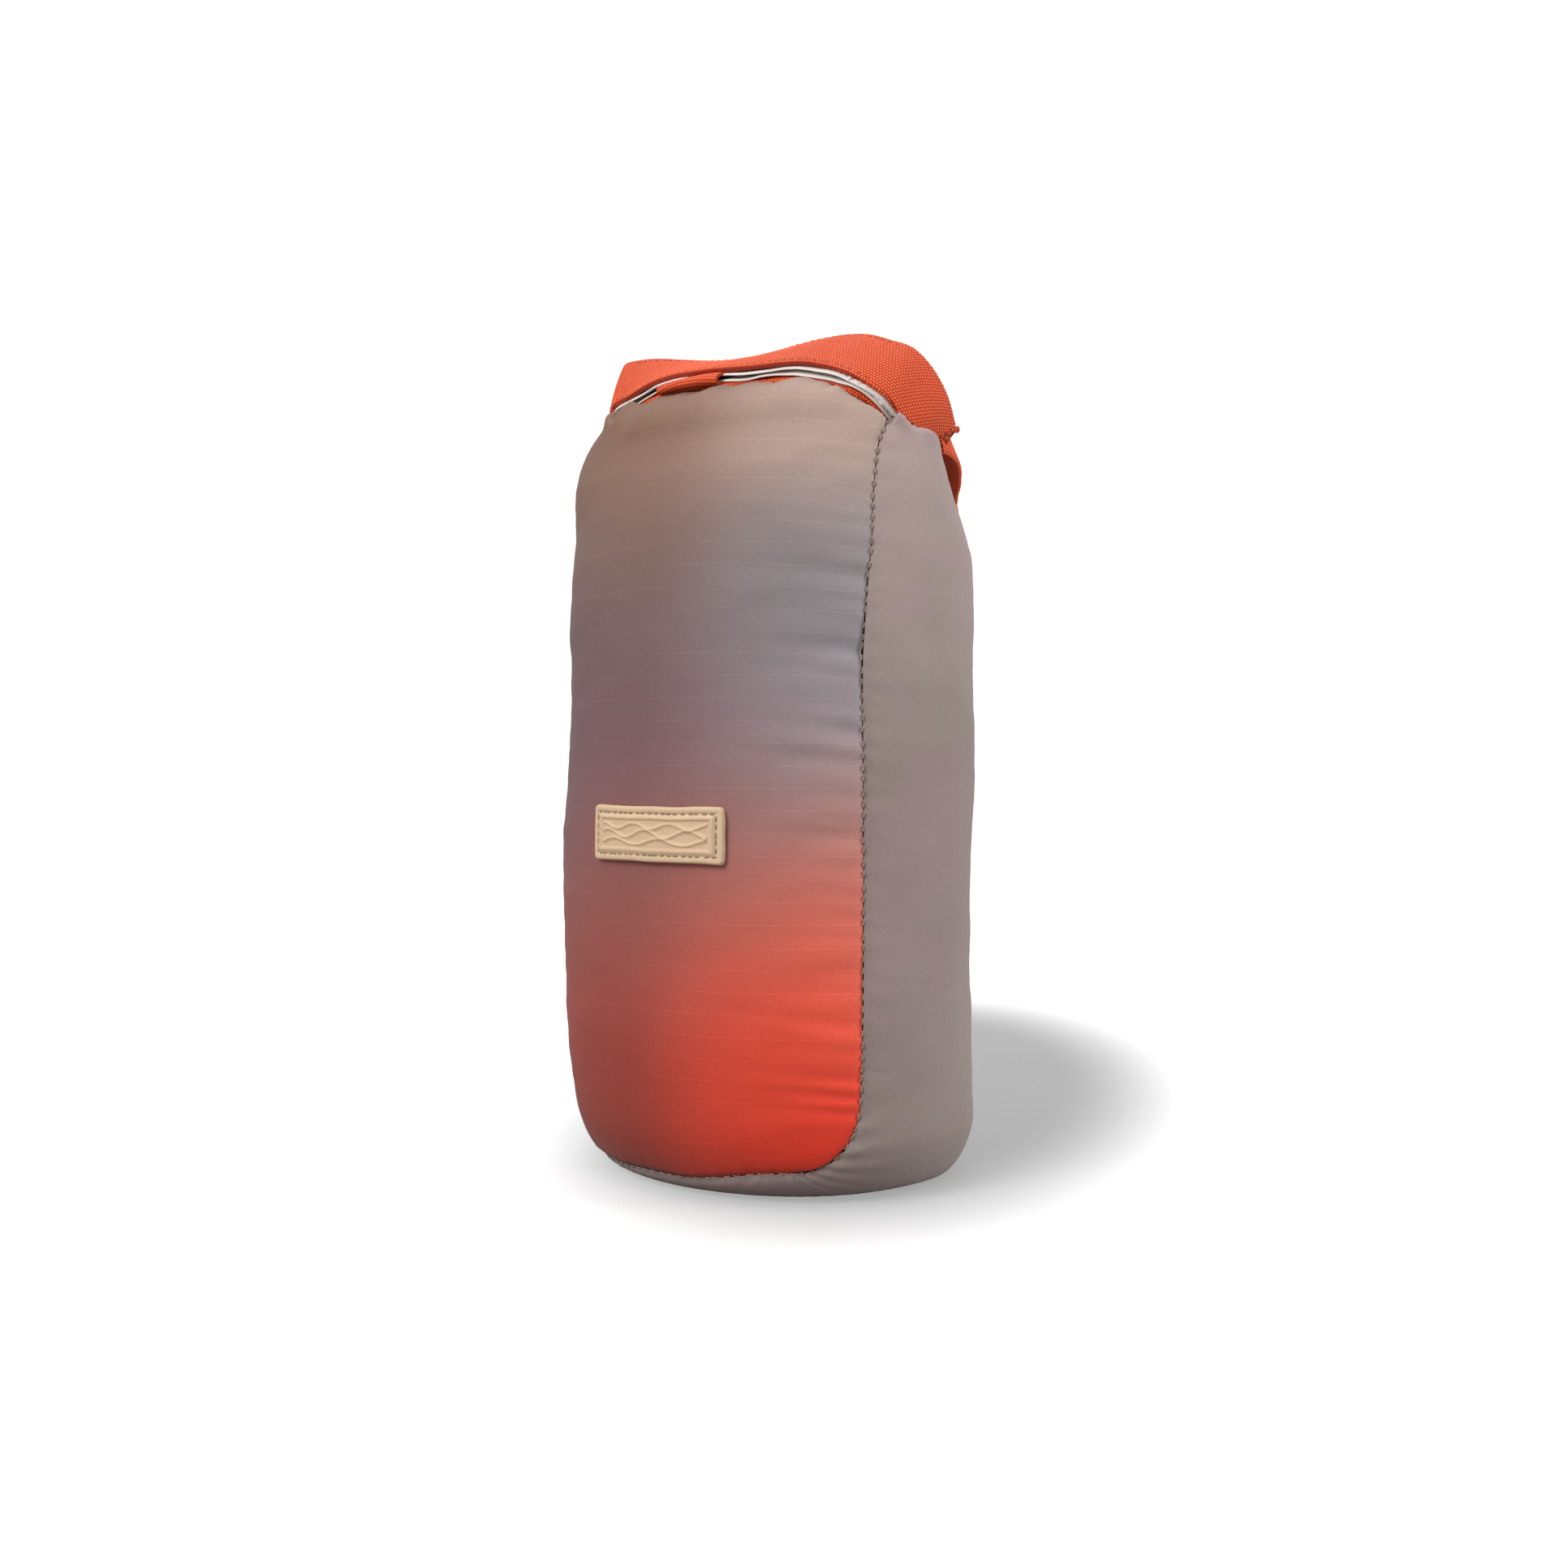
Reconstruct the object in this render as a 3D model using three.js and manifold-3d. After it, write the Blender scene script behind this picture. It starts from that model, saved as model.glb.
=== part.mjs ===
// Camp pillow packed in its small upright roll-top sack.
// Millimetres, +Z up. The origin is the centre of the flat base; the front panel faces -Y.
// The sack is sewn from a front panel, a back panel and one gusset strip that makes both sides and the base.
// Its mouth is bound with webbing over a facing tape, folded forward once, and its ends run behind to a buckle.
import * as THREE from 'three';
import { mergeVertices } from 'three/addons/utils/BufferGeometryUtils.js';
import Module from 'manifold-3d';

// ---------- driving dimensions ----------
const HALF_WIDTH = 73.5;        // half width of the sack at mid height, X
const HALF_DEPTH = 60.5;        // half depth of the sack at mid height, Y
const R_REF = 69;               // mean radius the profile below is written for
const NECK_TOP = 268.5;         // height where the panels meet the mouth band
const FABRIC = 1.2;             // wall of the sack panels
const SEAM_GAP = 0.3;           // half gap between two panels at a seam
const SEAM_T = 57;              // section angle of the side seams, degrees from the front centre
const BOTTOM_SEAM_Z = 10;       // height of the bottom seam of the front and back panels
const CORNER_Z = 34;            // height where the rounded lower panel corner starts
const CORNER_T = 40;            // section angle where the rounded corner ends
const AXIS_Y = 1.0;             // fold line of the mouth
const AXIS_Z = 273.5;
const FLAP_DROP = 30;           // how far the folded mouth points below the horizontal, degrees
const LIP_HALF = 56;            // half length of the straight part of the mouth
const WEBBING = 24.5;           // width of the mouth webbing
const LOOP_AXIS_Y = 16, LOOP_AXIS_Z = 262;
const BUCKLE_Y = 54, BUCKLE_Z = 236.5, BUCKLE_TILT = 20;
const PATCH_HALF_W = 26, PATCH_Z0 = 106, PATCH_Z1 = 124, PATCH_T = 2.0;

const V = (x, y, z) => new THREE.Vector3(x, y, z);
const rad = (d) => d * Math.PI / 180;
const lerpTable = (tab, z, c) => {
  if (z <= tab[0][0]) return tab[0][c];
  for (let i = 1; i < tab.length; i++) {
    if (z <= tab[i][0]) {
      const f = (z - tab[i - 1][0]) / (tab[i][0] - tab[i - 1][0]);
      return tab[i - 1][c] + f * (tab[i][c] - tab[i - 1][c]);
    }
  }
  return tab[tab.length - 1][c];
};
const smooth = (a, b, x) => { const t = Math.min(1, Math.max(0, (x - a) / (b - a))); return t * t * (3 - 2 * t); };

// ---------- the stuffed shape: [height, half width, half depth] ----------
const k = (z, r) => [z, r * HALF_WIDTH / R_REF, r * HALF_DEPTH / R_REF];
const PROFILE = [k(0, 46.5), k(1.2, 52), k(3, 56), k(6, 59.5), k(10, 62.2), k(14, 64.2), k(20, 66), k(30, 67), k(45, 68), k(75, 68.6), k(108, 69),
  k(140, 68.6), k(170, 68), [202, 73, 57.2], [215, 72, 55.5], [229, 70.6, 51], [236, 69.4, 47.4], [243, 68, 44], [247, 67, 42.5], [250, 66.2, 40],
  [253, 65.6, 36], [255.5, 65.2, 30.5], [257.8, 64.2, 24.5], [261.8, 61.5, 16], [265.5, 58.8, 9.5], [268.5, 57, 4.8]];
const halfW = (z) => lerpTable(PROFILE, z, 1);
const halfD = (z) => lerpTable(PROFILE, z, 2);
// seam angles above the shoulder: the gusset narrows as the section flattens
const FRONT_SEAM = [[225, 57], [235, 59], [243, 63], [250, 68], [258, 74], [268.5, 80]];
const BACK_SEAM = [[200, 123], [206, 119], [225, 110], [241, 101], [252, 98], [268.5, 100]];

function onSection(z, tDeg, inset = 0) {
  const t = rad(tDeg);
  return V((halfW(z) - inset) * Math.sin(t), -(halfD(z) - inset) * Math.cos(t), z);
}
function outward(p) {
  if (p.z < 0.02) return V(0, 0, -1);
  const a = halfW(p.z), b = halfD(p.z), e = 0.5;
  const da = (halfW(p.z + e) - halfW(Math.max(0, p.z - e))) / (e + Math.min(e, p.z));
  const db = (halfD(p.z + e) - halfD(Math.max(0, p.z - e))) / (e + Math.min(e, p.z));
  return V(p.x / (a * a), p.y / (b * b), -p.x * p.x * da / a ** 3 - p.y * p.y * db / b ** 3).normalize();
}
// the inner side of a wall: across the section high up, along the surface normal near the base
function inside(p, th) {
  const t = Math.atan2(p.x / halfW(p.z), -p.y / halfD(p.z));
  const flat = V((halfW(p.z) - th) * Math.sin(t), -(halfD(p.z) - th) * Math.cos(t), p.z);
  if (p.z > 45) return flat;
  const n = outward(p).multiplyScalar(-th).add(p);
  return n.lerp(flat, smooth(25, 45, p.z));
}
const wall = (z) => FABRIC + 0.8 * smooth(246, 254, z) * (1 - 0.25 * smooth(262, 268, z));

// ---------- mesh helpers ----------
function closedGeometry(pos, tri) {
  let vol = 0;
  for (let i = 0; i < tri.length; i += 3) {
    const [a, b, c] = [pos[tri[i]], pos[tri[i + 1]], pos[tri[i + 2]]];
    vol += a.dot(b.clone().cross(c));
  }
  if (vol < 0) for (let i = 0; i < tri.length; i += 3) { const s = tri[i + 1]; tri[i + 1] = tri[i + 2]; tri[i + 2] = s; }
  const g = new THREE.BufferGeometry();
  g.setAttribute('position', new THREE.Float32BufferAttribute(pos.flatMap((p) => [p.x, p.y, p.z]), 3));
  g.setIndex(tri);
  return g;
}
// a sheet with thickness: outer and inner are equal grids of points
function sheet(outer, inner) {
  const nu = outer.length, nv = outer[0].length, pos = [], tri = [];
  for (const grid of [outer, inner]) for (const row of grid) for (const p of row) pos.push(p);
  const o = (i, j) => i * nv + j, q = (i, j) => nu * nv + i * nv + j;
  for (let i = 0; i < nu - 1; i++) for (let j = 0; j < nv - 1; j++) {
    tri.push(o(i, j), o(i + 1, j), o(i + 1, j + 1), o(i, j), o(i + 1, j + 1), o(i, j + 1));
    tri.push(q(i, j), q(i + 1, j + 1), q(i + 1, j), q(i, j), q(i, j + 1), q(i + 1, j + 1));
  }
  const edge = (a, b, c, d) => tri.push(a, b, c, b, d, c); // a-b on the outer grid, c-d on the inner grid
  for (let i = 0; i < nu - 1; i++) {
    edge(o(i + 1, 0), o(i, 0), q(i + 1, 0), q(i, 0));
    edge(o(i, nv - 1), o(i + 1, nv - 1), q(i, nv - 1), q(i + 1, nv - 1));
  }
  for (let j = 0; j < nv - 1; j++) {
    edge(o(0, j), o(0, j + 1), q(0, j), q(0, j + 1));
    edge(o(nu - 1, j + 1), o(nu - 1, j), q(nu - 1, j + 1), q(nu - 1, j));
  }
  return closedGeometry(pos, tri);
}
// closed rings stacked between two poles; with open = true the last ring joins an inner skin instead of a pole
function rings(list, pole0, pole1) {
  const n = list[0].length, pos = [pole0], tri = [];
  for (const r of list) pos.push(...r);
  const id = (r, i) => 1 + r * n + ((i + n) % n);
  for (let i = 0; i < n; i++) tri.push(0, id(0, i + 1), id(0, i));
  for (let r = 0; r < list.length - 1; r++) for (let i = 0; i < n; i++) {
    tri.push(id(r, i), id(r, i + 1), id(r + 1, i + 1), id(r, i), id(r + 1, i + 1), id(r + 1, i));
  }
  pos.push(pole1);
  for (let i = 0; i < n; i++) tri.push(pos.length - 1, id(list.length - 1, i), id(list.length - 1, i + 1));
  return closedGeometry(pos, tri);
}
// a flat tape swept along centre points: w is the hint for its width direction
function frames(points, hints, start) {
  return points.map((p, i) => {
    const T = i === 0 && start ? start : points[Math.min(points.length - 1, i + 1)].clone().sub(points[Math.max(0, i - 1)]).normalize();
    const N = T.clone().cross(hints[i]).normalize();
    const W = N.clone().cross(T).normalize();
    return { C: p, W, N };
  });
}
function tape(fr, halfWidth, halfThick) {
  const th = (i) => Array.isArray(halfThick) ? halfThick[i] : halfThick;
  const at = (f, i, w, n) => f.C.clone().addScaledVector(f.W, w).addScaledVector(f.N, n * th(i));
  const cols = [-1, 0, 1];
  return sheet(fr.map((f, i) => cols.map((c) => at(f, i, c * halfWidth, 1))), fr.map((f, i) => cols.map((c) => at(f, i, c * halfWidth, -1))));
}
// a thread or cord: a small square section along a smooth path
function cord(points, r, steps) {
  const path = new THREE.CatmullRomCurve3(points, false, 'centripetal');
  const s = new THREE.Shape([new THREE.Vector2(-r, -r), new THREE.Vector2(r, -r), new THREE.Vector2(r, r), new THREE.Vector2(-r, r)]);
  return new THREE.ExtrudeGeometry(s, { steps, extrudePath: path, bevelEnabled: false });
}

// ---------- sack panels ----------
const ROWS = [10, 13, 17, 22, 28, 34, 45, 65, 90, 115, 140, 165, 190, 206, 220, 231, 239, 245, 250, 253, 255.5, 258.5, 262, 265.5, 268.5];
const COLS = 12;
const gapT = (z) => SEAM_GAP / Math.max(20, halfD(z)) * 180 / Math.PI;
function seamAngle(z) { // front seam; the back seam mirrors it below the shoulder
  if (z >= CORNER_Z) return lerpTable(FRONT_SEAM, z, 1);
  const f = (CORNER_Z - z) / (CORNER_Z - BOTTOM_SEAM_Z);
  return SEAM_T - (SEAM_T - CORNER_T) * (1 - Math.sqrt(Math.max(0, 1 - f * f)));
}
function backAngle(z) { return z >= 200 ? lerpTable(BACK_SEAM, z, 1) : 180 - seamAngle(z); }
function panel(front) {
  const outer = [], inner = [];
  for (const z of ROWS) {
    const zz = z === BOTTOM_SEAM_Z ? z + SEAM_GAP : z;
    const half = (front ? seamAngle(z) : 180 - backAngle(z)) - gapT(z);
    const o = [], q = [];
    for (let i = 0; i <= COLS; i++) {
      const u = -1 + 2 * i / COLS;
      const t = front ? u * half : 180 - u * half;
      const p = onSection(zz, t);
      o.push(p); q.push(inside(p, wall(zz)));
    }
    outer.push(o); inner.push(q);
  }
  return sheet(outer, inner);
}
function crossLine(F, nx, nz) { // from the front seam point F around the body to its mirror point, in the plane of Y and (nx, nz)
  const isIn = (x, y, z) => z > 0 && (x / halfW(z)) ** 2 + (y / halfD(z)) ** 2 < 1;
  const out = [], M = 60;
  for (let i = 0; i <= M; i++) {
    const y = -Math.cos(Math.PI * i / M) * Math.abs(F.y);
    let lo = 0, hi = 60;
    if (i === 0 || i === M) hi = 0;
    else for (let it = 0; it < 40; it++) { const m = (lo + hi) / 2; if (isIn(F.x + nx * m, y, F.z + nz * m)) lo = m; else hi = m; }
    const p = V(F.x + nx * hi, y, F.z + nz * hi);
    if (p.z < 1e-4) p.z = 0;
    out.push(p);
  }
  return out;
}
function resample(line, n, cut) {
  const len = [0];
  for (let i = 1; i < line.length; i++) len.push(len[i - 1] + line[i].distanceTo(line[i - 1]));
  const total = len[len.length - 1], out = [];
  for (let k2 = 0; k2 <= n; k2++) {
    const s = cut + (total - 2 * cut) * k2 / n;
    let i = 1; while (i < line.length - 1 && len[i] < s) i++;
    const f = (s - len[i - 1]) / (len[i] - len[i - 1]);
    const p = line[i - 1].clone().lerp(line[i], f);
    if (p.z < 0.01) p.z = 0;
    out.push(p);
  }
  return out;
}
function gusset() {
  const M = 8, stations = [];
  const sides = ROWS.filter((z) => z >= CORNER_Z).reverse();
  const corner = [[28, 16], [22, 32], [17, 47], [13, 64], [10, 90]];
  const right = [];
  for (const z of sides) {
    const t0 = seamAngle(z) + gapT(z), t1 = backAngle(z) - gapT(z);
    right.push(Array.from({ length: M + 1 }, (_, j) => onSection(z, t0 + (t1 - t0) * j / M)));
  }
  for (const [z, ang] of corner) {
    right.push(resample(crossLine(onSection(z, seamAngle(z)), Math.cos(rad(ang)), -Math.sin(rad(ang))), M, SEAM_GAP));
  }
  stations.push(...right);
  for (let i = COLS - 1; i >= 1; i--) {
    const u = -1 + 2 * i / COLS;
    stations.push(resample(crossLine(onSection(BOTTOM_SEAM_Z, u * CORNER_T), 0, -1), M, SEAM_GAP));
  }
  for (const line of right.slice().reverse()) stations.push(line.map((p) => V(-p.x, p.y, p.z)));
  const outer = stations, inner = stations.map((l) => l.map((p) => inside(p, wall(p.z))));
  return sheet(outer, inner);
}
// the row of stitches beside a seam, on the panel side
function seamThread(front) {
  const pts = [], side = [];
  for (const z of [250, 245, 239, 225, 206, 165, 115, 65, 40, 28, 20, 15]) {
    const half = (front ? seamAngle(z) : 180 - backAngle(z)) - 2.2 / Math.max(30, halfD(z)) * 57.3;
    side.push([z, half]);
  }
  const put = (z, t) => { const p = onSection(z, front ? t : 180 - t); return p.addScaledVector(outward(p), 0.75); };
  for (const [z, h] of side) pts.push(put(z, h));
  for (const u of [0.85, 0.5, 0, -0.5, -0.85]) pts.push(put(12.8, u * CORNER_T));
  for (const [z, h] of side.reverse()) pts.push(put(z, -h));
  return cord(pts, 0.3, 64);
}

// ---------- rubber patch on the front ----------
function frontAt(x, z, lift) {
  const y = -halfD(z) * Math.sqrt(1 - (x / halfW(z)) ** 2);
  const p = V(x, y, z);
  return p.addScaledVector(outward(p), lift);
}
function patchGeometry() {
  const xs = Array.from({ length: 9 }, (_, i) => -PATCH_HALF_W + i * PATCH_HALF_W / 4);
  const zs = [PATCH_Z0, (PATCH_Z0 + PATCH_Z1) / 2, PATCH_Z1];
  return sheet(zs.map((z) => xs.map((x) => frontAt(x, z, 0.45 + PATCH_T))), zs.map((z) => xs.map((x) => frontAt(x, z, 0.45))));
}
function patchThread() {
  const h = 0.45 + PATCH_T + 0.65, w = PATCH_HALF_W - 2.6, z0 = PATCH_Z0 + 2.4, z1 = PATCH_Z1 - 2.4, pts = [];
  for (let i = 0; i <= 8; i++) pts.push(frontAt(-w + 0.8 + i * (2 * w - 0.8) / 8, z0, h));
  pts.push(frontAt(w, (z0 + z1) / 2, h));
  for (let i = 8; i >= 0; i--) pts.push(frontAt(-w + i * 2 * w / 8, z1, h));
  pts.push(frontAt(-w, (z0 + z1) / 2, h), frontAt(-w, z0 + 0.9, h));
  return cord(pts, 0.3, 44);
}

// ---------- packed pillow ----------
const PILLOW = [[5, 0.78], [9, 0.90], [16, 0.965], [30, 1], [60, 1], [100, 1], [140, 1], [180, 1], [212, 0.985], [228, 0.95], [238, 0.87], [244, 0.72]];
function pillowRing(z, f, inset, n = 20) {
  return Array.from({ length: n }, (_, i) => {
    const t = 2 * Math.PI * i / n;
    return V((halfW(z) - 4 - inset) * f * Math.sin(t), -(halfD(z) - 4 - inset) * f * Math.cos(t), z);
  });
}
function pillowCover() { // outer skin up to the open end, over the rim and down the inner skin
  const list = PILLOW.map(([z, f]) => pillowRing(z, f, 0));
  list.push(pillowRing(248, 0.34, 0), pillowRing(247, 0.30, 0));
  for (const [z, f] of PILLOW.slice().reverse()) list.push(pillowRing(z <= 5 ? z + 1.2 : z - (z > 236 ? 1.0 : 0), f, 1.3));
  return rings(list, V(0, 0, 4.2), V(0, 0, 5.6));
}
function pillowFill() {
  const list = PILLOW.map(([z, f]) => pillowRing(z <= 5 ? z + 1.9 : z - (z > 236 ? 2.2 : 0), f, 2.0));
  return rings(list, V(0, 0, 6.4), V(0, 0, 244.6));
}

// ---------- mouth band ----------
const D = V(0, -Math.cos(rad(FLAP_DROP)), -Math.sin(rad(FLAP_DROP)));
const UP = V(0, -Math.sin(rad(FLAP_DROP)), Math.cos(rad(FLAP_DROP)));
const lift = (x) => 4.5 * smooth(-10, -45, x) + 1.6 * smooth(-5, 30, x) * (1 - smooth(36, 54, x)) - 1.2 * smooth(38, 56, x);
const lipAt = (x, s, h) => V(x, AXIS_Y, AXIS_Z + lift(x)).addScaledVector(D, s).addScaledVector(UP, h);
function lipSheet(x0, x1, s0, s1, h0, h1, n = 14) {
  const xs = Array.from({ length: n + 1 }, (_, i) => x0 + (x1 - x0) * i / n);
  const ss = [s0, (s0 + s1) / 2, s1];
  return sheet(xs.map((x) => ss.map((s) => lipAt(x, s, h1))), xs.map((x) => ss.map((s) => lipAt(x, s, h0))));
}
function lipThread(h, s0, s1) {
  const L = LIP_HALF - 2, pts = [], n = 10;
  for (let i = 0; i <= n; i++) pts.push(lipAt(-L + 2 * L * i / n, s0, h));
  for (let i = n; i >= 0; i--) pts.push(lipAt(-L + 1 + (2 * L - 1) * i / n, s1, h));
  return cord(pts, 0.28, 60);
}
function bandEnd(side) {
  const pts = [[57.6, -13.3, 269.3], [63.4, -8.5, 266.4], [67.0, 0.5, 261.6], [67.0, 9.5, 256.6], [64.2, 18.2, 252.6], [60.6, 24.8, 249.6]].map(([x, y, z]) => V(x * side, y, z));
  const hint = [[0, -0.866, -0.5], [0.25, -0.8, -0.55], [0.52, -0.55, -0.65], [0.5, -0.3, -0.8], [0.38, -0.02, -0.92], [0.3, 0.2, -0.93]].map(([x, y, z]) => V(x * side, y, z));
  return tape(frames(pts, hint, V(side, 0, 0)), 12.2, [2.4, 2.0, 1.6, 1.3, 1.2, 1.2]);
}

// ---------- rear loop: two straps and a side-release buckle ----------
const bt = rad(BUCKLE_TILT);
const BW = V(0, -Math.sin(bt), Math.cos(bt)), BN = V(0, Math.cos(bt), Math.sin(bt));
const atBuckle = (l, w, n) => V(l, BUCKLE_Y, BUCKLE_Z).addScaledVector(BW, w).addScaledVector(BN, n);
// centre line of a strap: from the end of the mouth band, over the buckle bar and back under itself
const STRAP = [[56.6, 30.6, 246.6], [53.4, 37, 243.4], [48.8, 43.4, 240.6], [43.6, 49, 238.6]];
const TURN = [[38.5, 2.0], [34, 2.9], [30.5, 3.05], [28.2, 2.9], [26.6, 1.7], [26.1, 0], [26.6, -1.7], [28.2, -2.9], [30.5, -3.05], [34, -2.3], [37.5, -1.2]];
function strapFrames(side) {
  const pts = STRAP.map(([x, y, z]) => V(x * side, y, z)).concat(TURN.map(([l, n]) => atBuckle(l * side, 0, n)));
  const hints = STRAP.map((_, i) => V(-0.22 * side * (1 - i / 4), -0.34, 0.92)).concat(TURN.map(() => BW.clone()));
  return frames(pts, hints);
}
function strapThread(side) { // box of stitches that closes the folded strap beside the buckle
  const fr = strapFrames(side).slice(4, 7);
  const s = fr[0].N.dot(BN) > 0 ? 1 : -1;
  const at = (i, w) => fr[i].C.clone().addScaledVector(fr[i].W, w).addScaledVector(fr[i].N, s * 1.55);
  const mid = (w) => at(0, w).lerp(at(1, w), 0.85);
  return cord([at(0, -10), at(0, 0), at(0, 10), mid(10), mid(0), mid(-9)], 0.3, 24);
}
const wasm = await Module();
wasm.setup();
function solid(geometry) {
  const g = geometry.clone();
  g.deleteAttribute('normal'); g.deleteAttribute('uv');
  const m = mergeVertices(g, 1e-5);
  return new wasm.Manifold(new wasm.Mesh({ numProp: 3, vertProperties: new Float32Array(m.attributes.position.array), triVerts: new Uint32Array(m.index.array) }));
}
function geometryOf(manifold) {
  const m = manifold.getMesh(), g = new THREE.BufferGeometry();
  g.setAttribute('position', new THREE.BufferAttribute(new Float32Array(m.vertProperties), 3));
  g.setIndex(Array.from(m.triVerts));
  return g;
}
const box = (l0, l1, w0, w1, n0, n1) => new THREE.BoxGeometry(l1 - l0, w1 - w0, n1 - n0).translate((l0 + l1) / 2, (w0 + w1) / 2, (n0 + n1) / 2);
function outline(points, n0, n1) {
  return new THREE.ExtrudeGeometry(new THREE.Shape(points.map(([l, w]) => new THREE.Vector2(l, w))), { depth: n1 - n0, bevelEnabled: false }).translate(0, 0, n0);
}
function buckleFemale() {
  const c = 3.2;
  let m = solid(outline([[-2.6, -14.6], [0, -15.5], [20, -15.5], [22.8, -15], [22.8, 15], [20, 15.5], [0, 15.5], [-2.6, 14.6]], -4.6, 4.6));
  m = m.add(solid(outline([[20, -15.5], [31 - c, -15.5], [31, -15.5 + c], [31, 15.5 - c], [31 - c, 15.5], [20, 15.5]], -1.6, 1.6)));
  m = m.subtract(solid(box(-4, 19, -12.6, 12.6, -2.9, 2.9)));
  m = m.subtract(solid(box(5.2, 15.2, 12, 17, -2.9, 2.9)));
  m = m.subtract(solid(box(5.2, 15.2, -17, -12, -2.9, 2.9)));
  m = m.subtract(solid(box(23.6, 28, -13.1, 13.1, -6, 6)));
  return geometryOf(m);
}
function buckleMale() {
  const c = 3.2;
  let m = solid(outline([[-23, -15], [-12, -15], [-7, -13.4], [-3.3, -13.4], [-3.3, 13.4], [-7, 13.4], [-12, 15], [-23, 15]], -3.2, 3.2));
  m = m.add(solid(outline([[-20, -15.5], [-31 + c, -15.5], [-31, -15.5 + c], [-31, 15.5 - c], [-31 + c, 15.5], [-20, 15.5]].reverse(), -1.6, 1.6)));
  m = m.add(solid(box(-6, 12.5, -1.6, 1.6, -1.6, 1.6)));
  m = m.subtract(solid(box(-28, -23.6, -13.1, 13.1, -6, 6)));
  return geometryOf(m);
}
const PRONG = [[-2.7, 7.0], [5, 7.4], [14, 8.0], [14, 10.0], [9.0, 13.9], [5.8, 13.9], [5.4, 10.6], [-2.7, 10.0]];
const prong = (side) => outline(side > 0 ? PRONG : PRONG.map(([l, w]) => [l, -w]).reverse(), -2.0, 2.0);

// ---------- assembly ----------
const group = new THREE.Group();
const COLORS = { print: 0xa2655b, taupe: 0x978985, orange: 0xe6573a, grey: 0xcfc8c4, thread: 0xa08c74, rubber: 0xc4a888, plastic: 0x2c2a2a, cover: 0x8d8a88, foam: 0xe8dfc8 };
function add(parent, name, geometry, color, roughness = 0.8) {
  const mesh = new THREE.Mesh(geometry, new THREE.MeshStandardMaterial({ color, roughness, metalness: 0 }));
  mesh.name = name;
  parent.add(mesh);
  return mesh;
}
add(group, 'front_panel', panel(true), COLORS.print);
add(group, 'back_panel', panel(false), COLORS.taupe);
add(group, 'gusset_panel', gusset(), COLORS.taupe);
add(group, 'front_seam_thread', seamThread(true), COLORS.thread);
add(group, 'back_seam_thread', seamThread(false), COLORS.thread);
add(group, 'patch', patchGeometry(), COLORS.rubber, 0.6);
add(group, 'patch_thread', patchThread(), COLORS.thread);
add(group, 'left_band_end', bandEnd(-1), COLORS.orange);
add(group, 'right_band_end', bandEnd(1), COLORS.orange);
add(group, 'pillow_cover', pillowCover(), COLORS.cover);
add(group, 'pillow_fill', pillowFill(), COLORS.foam, 0.95);

const backLip = new THREE.Group();
add(backLip, 'back_webbing', lipSheet(-LIP_HALF, LIP_HALF, 2, 2 + WEBBING, 5.4, 7.2), COLORS.orange);
add(backLip, 'back_facing', lipSheet(-LIP_HALF, LIP_HALF, 3, 27.5, 4.4, 5.05), COLORS.grey);
add(backLip, 'back_webbing_thread', lipThread(7.95, 3.8, 24.6), COLORS.orange);
group.add(backLip);

const frontLip = new THREE.Group();
add(frontLip, 'front_webbing', lipSheet(-LIP_HALF, LIP_HALF, 2, 2 + WEBBING, 0.4, 2.0), COLORS.orange);
add(frontLip, 'front_facing', lipSheet(-LIP_HALF, LIP_HALF, 3, 27.5, 2.35, 3.0), COLORS.grey);
add(frontLip, 'front_webbing_thread', lipThread(3.7, 3.8, 24.6), COLORS.orange);
add(frontLip, 'pull_tab', lipSheet(-26, 1, 29.6, 34.8, 1.2, 3.4, 6), COLORS.orange);
group.add(frontLip);

const loop = new THREE.Group();
add(loop, 'left_strap', tape(strapFrames(-1), 12.4, 0.8), COLORS.orange);
add(loop, 'right_strap', tape(strapFrames(1), 12.4, 0.8), COLORS.orange);
add(loop, 'left_strap_thread', strapThread(-1), COLORS.orange);
add(loop, 'right_strap_thread', strapThread(1), COLORS.orange);
const buckle = new THREE.Group(); // local axes: length, width, thickness
buckle.matrixAutoUpdate = true;
// width direction up the back of the sack, thickness direction pointing away from it
buckle.quaternion.setFromRotationMatrix(new THREE.Matrix4().makeBasis(V(1, 0, 0), BW.clone(), V(1, 0, 0).cross(BW)));
buckle.position.set(0, BUCKLE_Y, BUCKLE_Z);
add(buckle, 'buckle_female', buckleFemale(), COLORS.plastic, 0.5);
add(buckle, 'buckle_male', buckleMale(), COLORS.plastic, 0.5);
add(buckle, 'buckle_prong_upper', prong(1), COLORS.plastic, 0.5);
add(buckle, 'buckle_prong_lower', prong(-1), COLORS.plastic, 0.5);
loop.add(buckle);
group.add(loop);

export default group;
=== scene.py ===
# Camp pillow packed in its small roll-top sack: the looks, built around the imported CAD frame.
# Lengths below are in millimetres and are turned into metres when a mesh is written.
import math
import bpy
import numpy as np
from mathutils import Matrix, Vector
from mathutils.bvhtree import BVHTree


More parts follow.
